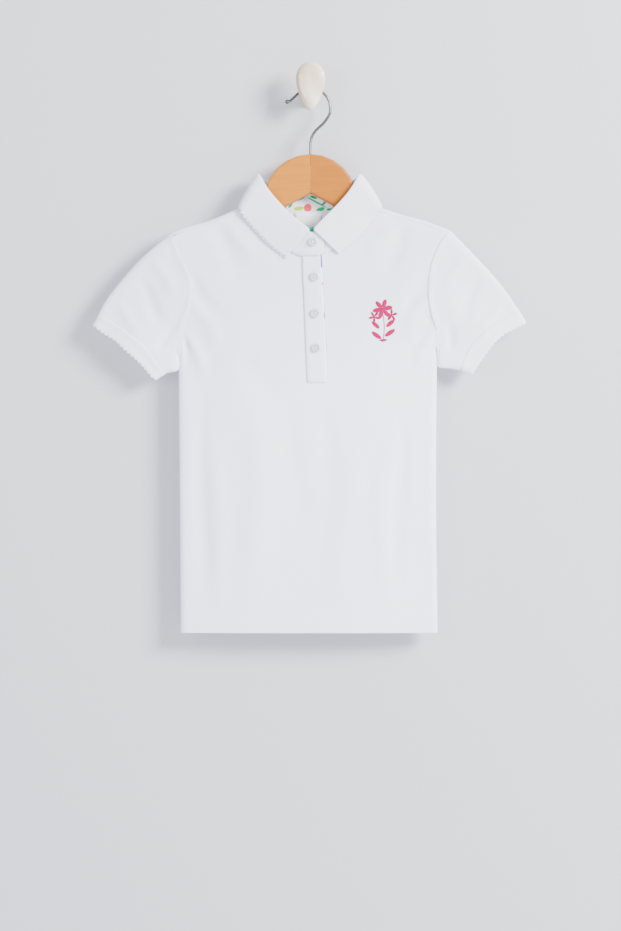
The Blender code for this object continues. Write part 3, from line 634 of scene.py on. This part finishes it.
def both_faces(name, lines):
    """The same rows on the front and on the back, as two pieces."""
    return [stitch_rows(name + "_" + side, tree, lines, front=side == "front")
            for side, tree in (("front", FRONT_TREE), ("back", BACK_TREE))]


# %% [markdown]
# The hem is turned up and held by two rows of stitches. The shoulders and armholes have one
# row beside their seam. The rows are the lines of the cut, moved sideways by a few
# millimetres.

# %% Hem, shoulder and armhole stitching
HEM_LEFT, HEM_RIGHT, HEM_ROW_Z, HEM_ROWS_APART = -146.5, 143.5, -606.0, 3.2
hem_rows = [[(HEM_LEFT, z), (HEM_RIGHT, z)] for z in (HEM_ROW_Z, HEM_ROW_Z + HEM_ROWS_APART)]
hem_stitches = both_faces("hem_stitches", hem_rows)
shoulder = [beside(curve(SHOULDER_LEFT), 4.0), beside(curve(SHOULDER_RIGHT), -4.0)]
shoulder_stitches = stitch_rows("shoulder_stitches", FRONT_TREE, shoulder)
armhole = [beside(curve(ARMHOLE_LEFT), 3.0), beside(curve(ARMHOLE_RIGHT), -3.0)]
armhole_stitches = both_faces("armhole_stitches", armhole)

# %% [markdown]
# The collar leaf and the cuffs are flat knit, and their outer edges are finished by a row
# of small scallops. The plain edge of the knit already has its place. Each scallop is a
# small half-round tongue whose foot is sunk in that edge and which stands 1.8 mm beyond it.
# The tongues turn with the edge, so they are built one by one along it. A Bevel modifier
# then takes the sharpness off them all at once.

# %% Scalloped edges
SCALLOP_PITCH, SCALLOP_HEIGHT, SCALLOP_HALF_WALL = 5.6, 3.3, 0.62
SCALLOP_SUNK = 0.45      # this share of the height is inside the cloth
SCALLOP_SIDES = 8


def scallops(name, rows):
    """Half-round tongues along rows of (edge point, inner point) pairs in metres."""
    pitch = SCALLOP_PITCH * MM
    bm = bmesh.new()
    total = 0
    for row in rows:
        run = 0.0
        for (a, inner_a), (b, inner_b) in zip(row, row[1:]):
            length = (b - a).length
            at = (-run) % pitch
            while at <= length:
                t = at / length
                place, along = a.lerp(b, t), (b - a).normalized()
                out = place - inner_a.lerp(inner_b, t)
                out = (out - along * out.dot(along)).normalized()
                tongue(bm, place, along * pitch * 0.5, out * SCALLOP_HEIGHT * MM,
                       along.cross(out) * SCALLOP_HALF_WALL * MM)
                total += 1
                at += pitch
            run += length
    made = pick(piece_of(bm, name, RIB))
    edge = made.modifiers.new("Soft edge", "BEVEL")
    edge.width, edge.segments, edge.limit_method = 0.25 * MM, 2, "ANGLE"
    bpy.ops.object.modifier_apply(modifier=edge.name)
    made.data.shade_smooth()
    print(name, total, "scallops")
    return made


def tongue(bm, place, along, out, face):
    """One scallop: a half-round plate whose foot is sunk in the cloth's edge."""
    angles = [pi * k / SCALLOP_SIDES for k in range(SCALLOP_SIDES + 1)]
    rim = [place - along * cos(angle) + out * (sin(angle) - SCALLOP_SUNK)
           for angle in angles]
    near = [bm.verts.new(p + face) for p in rim]
    far = [bm.verts.new(p - face) for p in rim]
    bm.faces.new(near)
    bm.faces.new(list(reversed(far)))
    for k in range(len(rim)):
        n = (k + 1) % len(rim)
        bm.faces.new((near[k], far[k], far[n], near[n]))


# %% [markdown]
# A cuff's scallops need its outer edge on both faces of the sleeve. Two rays for each place
# find it: one lands just inside the edge and one further in, and both give its slant.

# %% Edges of the two cuffs
CUFF_EDGE_LEFT = [(-252.3, -266), (-243, -273.8), (-226.8, -284), (-214, -295.8),
                  (-197.8, -310.3), (-179.8, -331)]
CUFF_EDGE_RIGHT = [(250.8, -263.6), (228.5, -274.5), (216.9, -283), (207, -294.6),
                   (196.6, -308.6), (186.5, -325.2)]
CUFF_TREE = tree_of(*cuffs)
KNIT_WALL = 1.5          # mm, of the cuffs and the collar leaf
CUFF_STEPS = 41


def cuff_row(seam, edge, front_side):
    """Pairs of points on a cuff's edge, in the middle of its wall."""
    row = []
    steps = list(zip(curve(seam, CUFF_STEPS), curve(edge, CUFF_STEPS)))
    for sewn, free in steps[1:-1]:
        inward = (sewn - free).normalized()
        near, far = [land(CUFF_TREE, *(free + inward * depth), front=front_side,
                          lift=-0.5 * KNIT_WALL)[0] for depth in (1.0, 4.0)]
        if near and far:
            row.append((near + (near - far).normalized() * 0.9 * MM, far))
    return row


for side, seam, edge in (("left", CUFF_LEFT, CUFF_EDGE_LEFT),
                         ("right", CUFF_RIGHT, CUFF_EDGE_RIGHT)):
    scallops("cuff_scallops_" + side,
                                  [cuff_row(seam, edge, f) for f in (True, False)])

# %% [markdown]
# The collar leaf runs round the whole neck, partly steep and partly level, so rays from the
# front would miss much of its edge. Its edge is therefore drawn again from the same few
# sections as the leaf's cut: a smooth line through half of them, mirrored to the other side.

# %% Edge of the collar leaf
COLLAR_STEPS = 160
COLLAR_HALF = [                      # fold x, y, z and edge x, y, z from the middle plane
    (3, -14, -159, 30.4, -13.9, -185.5), (17, -13.4, -146.2, 35.6, -13.7, -181.8),
    (33.6, -12.2, -130, 53, -13.2, -167), (48, -9.6, -113, 70.7, -12, -146.7),
    (56, -6.8, -99.5, 79.5, -12.8, -134.5), (58.4, -3.4, -95.8, 82.2, -8.6, -129),
    (59, 0.6, -95, 83, 0, -127.6), (57.6, 4.6, -96.6, 82.2, 8.6, -129.8),
    (53, 8, -100.4, 77, 12, -137.5), (38, 10, -105, 56, 13.2, -148),
    (19, 10.9, -109, 28, 13.6, -153.5), (0, 11.2, -110, 0, 13.7, -155)]


def lean(x, y, z):
    """The neck leans a little to the right on the hanger; metres from mm."""
    middle = -1.5 + 3.5 * smooth((-95 - z) / 90)
    tip = 2.0 * smooth((-100 - z) / 60) * min(abs(x) / 20, 1.0) * (y < 0)
    return Vector((x + middle, y + MID_Y / MM, z + (tip if x > 0 else -tip))) * MM


def collar_row():
    """Pairs of points on the leaf's outer edge, in the middle of its wall."""
    lines = []
    for first in (0, 3):
        half = [row[first:first + 3] for row in COLLAR_HALF]
        ring = [(-x, y, z) for x, y, z in half] + half[-2::-1]
        lines.append([lean(*point) for point in curve(ring, COLLAR_STEPS)])
    row = []
    for k, (fold, edge) in enumerate(zip(*lines)):
        along = lines[1][min(k + 1, COLLAR_STEPS - 1)] - lines[1][max(k - 1, 0)]
        face = along.cross(edge - fold).normalized()
        if face.dot(Vector((edge.x, (edge.y - MID_Y) * 6, 0))) < 0:
            face = -face
        place = edge - face * 0.5 * KNIT_WALL * MM
        place.y += shift_of(place)
        row.append((place, place + (fold - edge) * 0.15))
    return row


collar_scallops = scallops("collar_scallops", [collar_row()])

# %% [markdown]
# The placket is a strip over a slit. Its edges are stitched down, a stitched box closes its
# foot, and the band of the collar is stitched where it meets the front.

# %% Placket stitching
PLACKET_TOP_Z, PLACKET_END_Z = -187.6, -334.0
PLACKET_INSET, BOX_HIGH = 1.4, 8.1       # of the rows from the edge, and the stitched box


def placket_row(side, z):
    """A point of a side row. The strip leans a little to the right on its way down."""
    down = PLACKET_TOP_Z - z
    if side == "left":
        return -9.6 + down * 0.0415 + PLACKET_INSET, z
    return 11.4 + down * 0.0524 - PLACKET_INSET, z


ROW_TOP, ROW_END = PLACKET_TOP_Z - PLACKET_INSET, PLACKET_END_Z + PLACKET_INSET
placket_lines = [[placket_row(side, z) for z in (ROW_TOP, ROW_END)] for side in SIDES]
placket_lines += [[placket_row(side, z) for side in SIDES] for z in (ROW_END, ROW_END + BOX_HIGH)]
placket_stitches = stitch_rows("placket_stitches", FRONT_TREE, placket_lines, pitch=2.3)
STAND_LINE = [(-54, -150.5), (-36, -170.5), (-18, -183), (0, -185.2), (9, -184.6),
              (14.5, -176)]
stand_stitches = stitch_rows("stand_stitches", FRONT_TREE, [curve(STAND_LINE, 24)], pitch=2.3)

# %% [markdown]
# Four pearly buttons close the placket. Each has a raised rim, a dished middle, four holes
# and a small crossing of thread. Their buttonholes are narrow loops of close stitches,
# which stand upright on the strip and lie flat on the collar's band.

# %% Buttonholes, and the thread in the buttons
BUTTONS = [(2.7, -170.5), (4.5, -211.1), (5.2, -253.5), (6.4, -293.5)]     # x, z
BAND_FOOT_Z = -180.0     # the buttonhole above this lies flat on the collar's band
DISH_DEPTH = 0.45
HOLE_DISTANCE = 1.75     # mm from a button's middle to its holes


def loop_of(x, z, half_long, half_wide, upright):
    """A closed narrow loop of (x, z) points."""
    made = []
    for k in range(25):
        angle = 2 * pi * k / 24
        u, v = half_wide * cos(angle), half_long * sin(angle)
        made.append((x + u, z + v) if upright else (x + v, z + u))
    return made


button_holes = stitch_rows(
    "buttonhole_stitches", FRONT_TREE,
    [loop_of(x, z, 7.4, 0.75, z < BAND_FOOT_Z) for x, z in BUTTONS], pitch=0.9, width=0.5)


def button_thread(name, x, z):
    """Two crossed bars, each of two threads, that join the four holes of the dish."""
    low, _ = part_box(name)
    centre = Vector((x * MM, low.y + DISH_DEPTH * MM, z * MM))
    bm = bmesh.new()
    for turn in (pi / 4, 3 * pi / 4):
        step = Vector((cos(turn), 0, sin(turn))) * HOLE_DISTANCE * MM
        for part in (-1, 1):
            mid = centre + Vector((step.z, 0, -step.x)).normalized() * 0.22 * MM * part
            stitch(bm, mid - step, mid + step, Vector((0, -1, 0)), 0.55 * MM)
    return piece_of(bm, "thread_" + name, THREAD)


threads = [button_thread("button_" + str(number), x, z)
           for number, (x, z) in enumerate(BUTTONS, 1)]
print("buttons sewn:", len(threads))

# %% [markdown]
# The inside of the neck is faced with fine printed cotton: a white ground with a coral
# flower, lime and green leaves and a violet bud. The same print faces the slit, where only
# slivers of it show. An image could carry such a print, but it would blur close by, so the
# material draws each leaf and flower as an ellipse, by its distance from a middle.

# %% Printed cotton
PRINT_SOFT = 0.12        # how far the dye runs at an edge, as a share of the ellipse


def spot_mask(tree, parts, x, z, wide, high, turn):
    """1 inside an ellipse round (x, z) in mm, seen from the front, and 0 outside."""
    dx = maths(tree, "SUBTRACT", maths(tree, "MULTIPLY", parts.outputs["X"], 1000.0), x)
    dz = maths(tree, "SUBTRACT", maths(tree, "MULTIPLY", parts.outputs["Z"], 1000.0), z)
    along = maths(tree, "ADD", maths(tree, "MULTIPLY", dx, cos(turn)),
                  maths(tree, "MULTIPLY", dz, sin(turn)))
    across = maths(tree, "SUBTRACT", maths(tree, "MULTIPLY", dz, cos(turn)),
                   maths(tree, "MULTIPLY", dx, sin(turn)))
    u = maths(tree, "POWER", maths(tree, "DIVIDE", along, wide), 2.0)
    v = maths(tree, "POWER", maths(tree, "DIVIDE", across, high), 2.0)
    away = maths(tree, "SQRT", maths(tree, "ADD", u, v))
    made = node(tree, "ShaderNodeMapRange", {"Value": away, "From Min": 1.0 - PRINT_SOFT,
                                             "From Max": 1.0 + PRINT_SOFT, "To Min": 1.0,
                                             "To Max": 0.0})
    return made.outputs["Result"]


CORAL, LIME, LEAF = (0.72, 0.05, 0.08), (0.34, 0.58, 0.02), (0.02, 0.30, 0.13)
GREEN, TEAL = (0.0, 0.38, 0.12), (0.0, 0.26, 0.20)
VIOLET, PLUM = (0.13, 0.04, 0.36), (0.14, 0.01, 0.07)
SPOTS = [                              # x, z, half width, half height, turn, colour
    (-13.6, -130.3, 5.8, 2.5, 0.1, LIME), (-23.5, -127, 3.4, 1.6, 0.9, LEAF),
    (11.5, -131.4, 5.2, 2.3, 0.3, GREEN), (23.7, -131.8, 5.0, 1.8, -0.1, GREEN),
    (7.6, -123.4, 12.5, 1.1, -0.49, GREEN), (3.7, -117.4, 4.2, 1.6, -0.3, GREEN),
    (15.5, -124.4, 3.2, 1.4, 0.7, LEAF), (27.5, -128.4, 3.2, 1.4, 0.2, LIME),
    (-3.2, -129.6, 4.7, 4.7, 0, CORAL), (-11, -119, 5, 1.2, 0.5, GREEN),
    (-30, -131, 2.0, 3.0, 0, VIOLET), (-38, -126, 5.0, 2.0, -0.5, LIME),
    (36, -125, 4.6, 1.8, -0.4, GREEN), (45, -128, 4.2, 2.2, 0.6, CORAL),
    (-46, -121, 4.0, 1.6, 0.8, LEAF), (0, -112, 7.0, 1.3, 0.1, LEAF),
    (12.6, -194, 1.5, 7.0, 0, VIOLET), (14.3, -219, 1.0, 1.5, 0, PLUM),
    (15.8, -256, 0.55, 4.5, 0, PLUM),
]


def printed_cotton():
    made, tree, shader = new_material("printed cotton", 0.9)
    shader.inputs["Specular IOR Level"].default_value = 0.15
    place = object_place(tree)
    parts = node(tree, "ShaderNodeSeparateXYZ", {0: place})
    colour = (0.84, 0.84, 0.88, 1)
    for x, z, wide, high, turn, paint in SPOTS:
        mask = spot_mask(tree, parts, x, z, wide, high, turn)
        colour = mix(tree, mask, colour, (*paint, 1))
    tree.links.new(colour, shader.inputs["Base Color"])
    weave = use_group(tree, KNIT, {"Vector": place, "Loop size": 0.0006})
    bump(tree, shader, weave.outputs["Height"], 0.2, 0.0001)
    return made


PRINT = printed_cotton()

# %% [markdown]
# The facing, the placket's under strip and the label are dressed as the other cloths are.
# The lower edges of the first two run on a little, behind the cloth that hides them.


# %% Facing, under strip and label
def drawn_down(below, by, over):
    """A move that draws what is below a height further down, all in mm."""
    return lambda point, normal: (0, 0, -by * smooth((below - point.z) / over))


LABEL = plain("woven label", 0.55, (0.86, 0.86, 0.88), Sheen_Weight=0.25)
facing = dress("neck_facing", PRINT, 1, reshape=drawn_down(-126.0, 3.0, 4.0))
under = dress("placket_under", PRINT, 1, reshape=drawn_down(-320.0, 5.4, 6.0))
label = dress("neck_label", LABEL, 1)

# %% [markdown]
# Where the two collar leaves meet, a corner of the band's lining looks out. It is a small
# plate that stands behind the leaves: a circle, filled, stretched and given a wall.

# %% Corner of the band's lining
CORNER_WALL, CORNER_PLACE = 0.8 * MM, Vector((1.4, -32.2, -156.2)) * MM
bpy.ops.object.select_all(action="DESELECT")
bpy.ops.mesh.primitive_circle_add(vertices=20, radius=1.0, fill_type="NGON",
                                  location=(0, 0, 0))
corner = bpy.context.active_object
corner.name = "band_lining_corner"
bpy.ops.object.mode_set(mode="EDIT")
bpy.ops.mesh.select_all(action="SELECT")
bpy.ops.transform.resize(value=(3.4 * MM, 3.0 * MM, 1.0))
bpy.ops.transform.rotate(value=pi / 2, orient_axis="X", center_override=(0, 0, 0))
bpy.ops.mesh.extrude_region_move(TRANSFORM_OT_translate={"value": (0, CORNER_WALL, 0)})
bpy.ops.mesh.select_all(action="SELECT")
bpy.ops.mesh.normals_make_consistent(inside=False)
bpy.ops.transform.translate(value=CORNER_PLACE)
bpy.ops.object.mode_set(mode="OBJECT")
corner.data.materials.append(plain("teal lining", 0.8, TEAL))
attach(corner, "root")
print(corner.name, len(corner.data.polygons), "faces")

# %% [markdown]
# The label is bare, and one row of stitches holds it along its upper edge. The row is laid
# on the label alone, so it gets a search tree of its own.

# %% Label stitches
LABEL_ROW = [(-16.8, -138.2), (10.8, -138.2)]
label_stitches = stitch_rows("label_stitches", tree_of(label), [LABEL_ROW], pitch=2.2)

# %% [markdown]
# On the chest a small pink flower sprig is embroidered in satin stitch: a stem, leaves and
# three flowers, each filled by threads laid side by side. A raised patch with a bump would
# be cheaper, but real threads catch the light along their own slant. They are one piece.

# %% Embroidered sprig
PINK = plain("pink thread", 0.8, (0.40, 0.0, 0.085), Specular_IOR_Level=0.1)
SATIN_PITCH, SATIN_WIDTH, SHORTEST = 0.42, 0.5, 0.25


def satin(bm, x, z, half_long, half_wide, turn, lift=0.12):
    """An ellipse filled by threads that lie across it, on the front of the shirt."""
    count = int(2 * half_long / SATIN_PITCH)
    ux, uz = cos(turn), sin(turn)
    for k in range(count):
        u = -half_long + (k + 0.5) * 2 * half_long / count
        wide = half_wide * sqrt(max(0.0, 1 - (u / half_long) ** 2))
        if wide < SHORTEST:
            continue
        a, normal = land(FRONT_TREE, x + u * ux + wide * uz, z + u * uz - wide * ux,
                         lift=lift)
        b, _ = land(FRONT_TREE, x + u * ux - wide * uz, z + u * uz + wide * ux, lift=lift)
        if a and b:
            stitch(bm, a, b, normal, SATIN_WIDTH * MM)


def flower(bm, x, z, size, petals, turn):
    """Petals round a small raised middle."""
    for k in range(petals):
        angle = turn + 2 * pi * k / petals
        satin(bm, x + 0.58 * size * cos(angle), z + 0.58 * size * sin(angle),
              0.44 * size, 0.27 * size, angle)
    satin(bm, x, z, 0.2 * size, 0.2 * size, turn, lift=0.3)


STEM_THREADS = 26
LEAVES = ((76.6, -279, 6.8, 3.1, 2.5),           # x, z, half length, half width, turn
          (92.2, -276, 7.0, 3.2, 0.6), (75.6, -267, 6.0, 2.9, 2.4),
          (92.6, -265, 6.2, 2.9, 0.7), (84.6, -284.6, 4.6, 1.7, 0.1))
FLOWERS = ((83.6, -248.5, 11.5, 6, 0.2),         # x, z, size, petals, turn
           (74.0, -257.5, 6.6, 5, 0.9), (94.0, -255.5, 7.0, 5, 0.3))
sprig = bmesh.new()
for k in range(STEM_THREADS):
    t = k / (STEM_THREADS - 1)
    satin(sprig, 84 + 3.2 * sin(2.6 * t) - 3 * t, -286 + 36 * t, 0.9, 0.6,
          1.5 - 0.5 * sin(3 * t))
for leaf in LEAVES:
    satin(sprig, *leaf)
for bloom in FLOWERS:
    flower(sprig, *bloom)
chest_sprig = piece_of(sprig, "chest_sprig", PINK)

# %% [markdown]
# The hard parts have the right shape already, so their nodes stay and only get better
# materials: honey wood with grain along each arm, grey wire, pearl, and a marbled glaze.

# %% Wood, wire, pearl and glaze
def wood(name, light, dark, turn):
    """Broad bands and fine pores, both drawn out along the arm and turned with it."""
    made, tree, shader = new_material(name, 0.5)
    shader.inputs["Specular IOR Level"].default_value = 0.25
    place = object_place(tree)
    lie = node(tree, "ShaderNodeMapping", {"Vector": place, "Rotation": (0, turn, 0),
                                           "Scale": (6, 40, 60)})
    grain = node(tree, "ShaderNodeTexNoise", {"Vector": lie.outputs[0], "Scale": 2.4,
                                              "Detail": 6.0, "Distortion": 0.6})
    fine = node(tree, "ShaderNodeMapping", {"Vector": place, "Rotation": (0, turn, 0),
                                            "Scale": (30, 300, 700)})
    pores = node(tree, "ShaderNodeTexNoise", {"Vector": fine.outputs[0], "Scale": 1.0,
                                              "Detail": 2.0})
    tone = mix(tree, grain.outputs["Fac"], (*dark, 1), (*light, 1))
    deep = maths(tree, "MULTIPLY_ADD", pores.outputs["Fac"], 0.3, 0.85)
    tree.links.new(darken(tree, 1.0, tone, deep), shader.inputs["Base Color"])
    bump(tree, shader, pores.outputs["Fac"], 0.12, 0.0002)
    return made


def glaze(name):
    """Marbled layers under a gloss, browner towards the left rim."""
    made, tree, shader = new_material(name, 0.16)
    shader.inputs["Coat Weight"].default_value = 0.5
    place = object_place(tree)
    centre = node(tree, "ShaderNodeMapping", {"Vector": place,
                                              "Location": (0.004, 0, -0.012)})
    rings = node(tree, "ShaderNodeTexWave", {"Vector": centre.outputs[0], "Scale": 14.0,
                                             "Distortion": 7.0, "Detail": 1.0,
                                             "Detail Scale": 0.6},
                 wave_type="BANDS", bands_direction="DIAGONAL")
    layers = mix(tree, rings.outputs["Fac"], (0.60, 0.48, 0.36, 1), (0.76, 0.66, 0.54, 1))
    parts = node(tree, "ShaderNodeSeparateXYZ", {0: place})
    left = node(tree, "ShaderNodeMapRange", {"Value": parts.outputs["X"],
                                             "From Min": -0.017, "From Max": -0.002})
    tree.links.new(mix(tree, left.outputs["Result"], (0.42, 0.28, 0.16, 1), layers),
                   shader.inputs["Base Color"])
    return made


def pearl(name):
    """Milky grey clouds under a gloss."""
    made, tree, shader = new_material(name, 0.22)
    shader.inputs["Coat Weight"].default_value = 0.6
    place = object_place(tree)
    sheen = node(tree, "ShaderNodeTexNoise", {"Vector": place, "Scale": 160.0,
                                              "Detail": 2.0, "Distortion": 1.5})
    tree.links.new(mix(tree, sheen.outputs["Fac"], (0.40, 0.39, 0.43, 1),
                       (0.68, 0.67, 0.70, 1)), shader.inputs["Base Color"])
    return made


WOODS = {"left": wood("honey wood left", (0.47, 0.170, 0.010), (0.37, 0.120, 0.006), 0.5),
         "right": wood("honey wood right", (0.39, 0.130, 0.007), (0.31, 0.090, 0.004), -0.5)}
WIRE = plain("grey wire", 0.42, (0.10, 0.103, 0.11), metallic=1.0)
GLAZE, PEARL = glaze("marbled glaze"), pearl("pearl")


def repaint(name, paint):
    """A hard part keeps its shape and takes a new material."""
    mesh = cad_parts[name].data
    mesh.materials.clear()
    mesh.materials.append(paint)


for side, paint in WOODS.items():
    repaint("hanger_arm_" + side, paint)
repaint("hanger_hook", WIRE)
for name in ("wall_hook_post", "wall_hook_cap"):
    repaint(name, GLAZE)
for number in range(1, len(BUTTONS) + 1):
    repaint("button_" + str(number), PEARL)
print("repainted the hard parts")

# %% [markdown]
# The wire ends in a small ball that keeps it from scratching. It is a sphere pressed a
# little flat along y in edit mode.

# %% Ball on the hook's tip
BALL_RADIUS, BALL_PLACE = 2.6 * MM, (-27.0 * MM, MID_Y, -7.0 * MM)
bpy.ops.object.select_all(action="DESELECT")
bpy.ops.mesh.primitive_uv_sphere_add(segments=24, ring_count=12, radius=BALL_RADIUS,
                                     location=(0, 0, 0))
ball = bpy.context.active_object
ball.name = "hook_ball"
bpy.ops.object.mode_set(mode="EDIT")
bpy.ops.mesh.select_all(action="SELECT")
bpy.ops.transform.resize(value=(1.0, 0.9, 1.0))
bpy.ops.transform.translate(value=BALL_PLACE)
bpy.ops.object.mode_set(mode="OBJECT")
bpy.ops.object.shade_smooth()
ball.data.materials.append(WIRE)
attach(ball, "root")
print(ball.name, len(ball.data.polygons), "faces")

# %% [markdown]
# Every cloth piece is dressed now, and its stitches and scallops lie on it.


print("cloth pieces dressed")

# %% [markdown]
# The wall is a plain pale plane just behind the hook. Its material is clear on the back and
# it casts no shadow, so the shirt can also be lit and looked at from behind. The floor lies
# far below.

# %% Wall and floor
WALL, wall_tree, wall_shader = new_material("pale wall", 0.95)
wall_shader.inputs["Base Color"].default_value = (0.485, 0.49, 0.525, 1)
facing_away = wall_tree.nodes.new("ShaderNodeNewGeometry")
clear = wall_tree.nodes.new("ShaderNodeBsdfTransparent")
either = wall_tree.nodes.new("ShaderNodeMixShader")
wall_tree.links.new(facing_away.outputs["Backfacing"], either.inputs[0])
wall_tree.links.new(wall_shader.outputs[0], either.inputs[1])
wall_tree.links.new(clear.outputs[0], either.inputs[2])
wall_tree.links.new(either.outputs[0], wall_tree.nodes["Material Output"].inputs["Surface"])


def plane(name, size, location, rotation, paint):
    """A plain sheet of scenery, which is no part of the shirt."""
    bpy.ops.object.select_all(action="DESELECT")
    bpy.ops.mesh.primitive_plane_add(size=size, location=location, rotation=rotation)
    made = bpy.context.active_object
    made.name = name
    made.data.materials.append(paint)
    return made


wall = plane("wall", 6.0, (0, 0.002, 1.8), (pi / 2, 0, 0), WALL)
wall.visible_shadow = False          # the light behind it reaches the shirt's back
plane("floor", 8.0, (0, -1.0, -1.2), (0, 0, 0), plain("pale floor", 0.9, (0.62, 0.63, 0.65)))
print("wall faces", [round(v, 2) for v in wall.matrix_world.to_3x3() @ Vector((0, 0, 1))])

# %% [markdown]
# A soft light hangs at the upper right and in front, a weaker one fills from the left, and
# a third one stands behind the wall for views of the back. A pale world lifts the shadows.


# %% Lights
def area_light(name, location, aim, size, power):
    """A square light that faces its aim."""
    bpy.ops.object.light_add(type="AREA", location=location)
    made = bpy.context.active_object
    made.name = name
    made.data.size = size
    made.data.energy = power
    made.rotation_euler = (Vector(aim) - Vector(location)).to_track_quat("-Z", "Y").to_euler()


area_light("key", (2.15, -1.7, 0.8), (0, 0, -0.45), 1.0, 330)
area_light("fill", (-1.8, -2.2, 0.1), (0, 0, -0.4), 1.6, 56)
area_light("from_behind", (0.9, 1.6, 0.6), (0, 0, -0.4), 1.6, 70)
world = bpy.data.worlds.new("pale world")
bpy.context.scene.world = world
world.use_nodes = True
sky = world.node_tree.nodes["Background"]
sky.inputs["Color"].default_value = (0.86, 0.90, 1.0, 1)
sky.inputs["Strength"].default_value = 1.2

# %% [markdown]
# The camera stands four metres back with a long lens and looks level and straight on, so
# that the shirt is seen with almost no perspective.

# %% Camera
CAMERA_BACK, CAMERA_Z = 4.03, -0.430
bpy.ops.object.camera_add(location=(0, -CAMERA_BACK, CAMERA_Z), rotation=(pi / 2, 0, 0))
camera = bpy.context.active_object
camera.data.lens = 133.3
camera.data.sensor_width = 36
camera.data.dof.use_dof = False
bpy.context.scene.camera = camera
print("camera", camera.location[:])
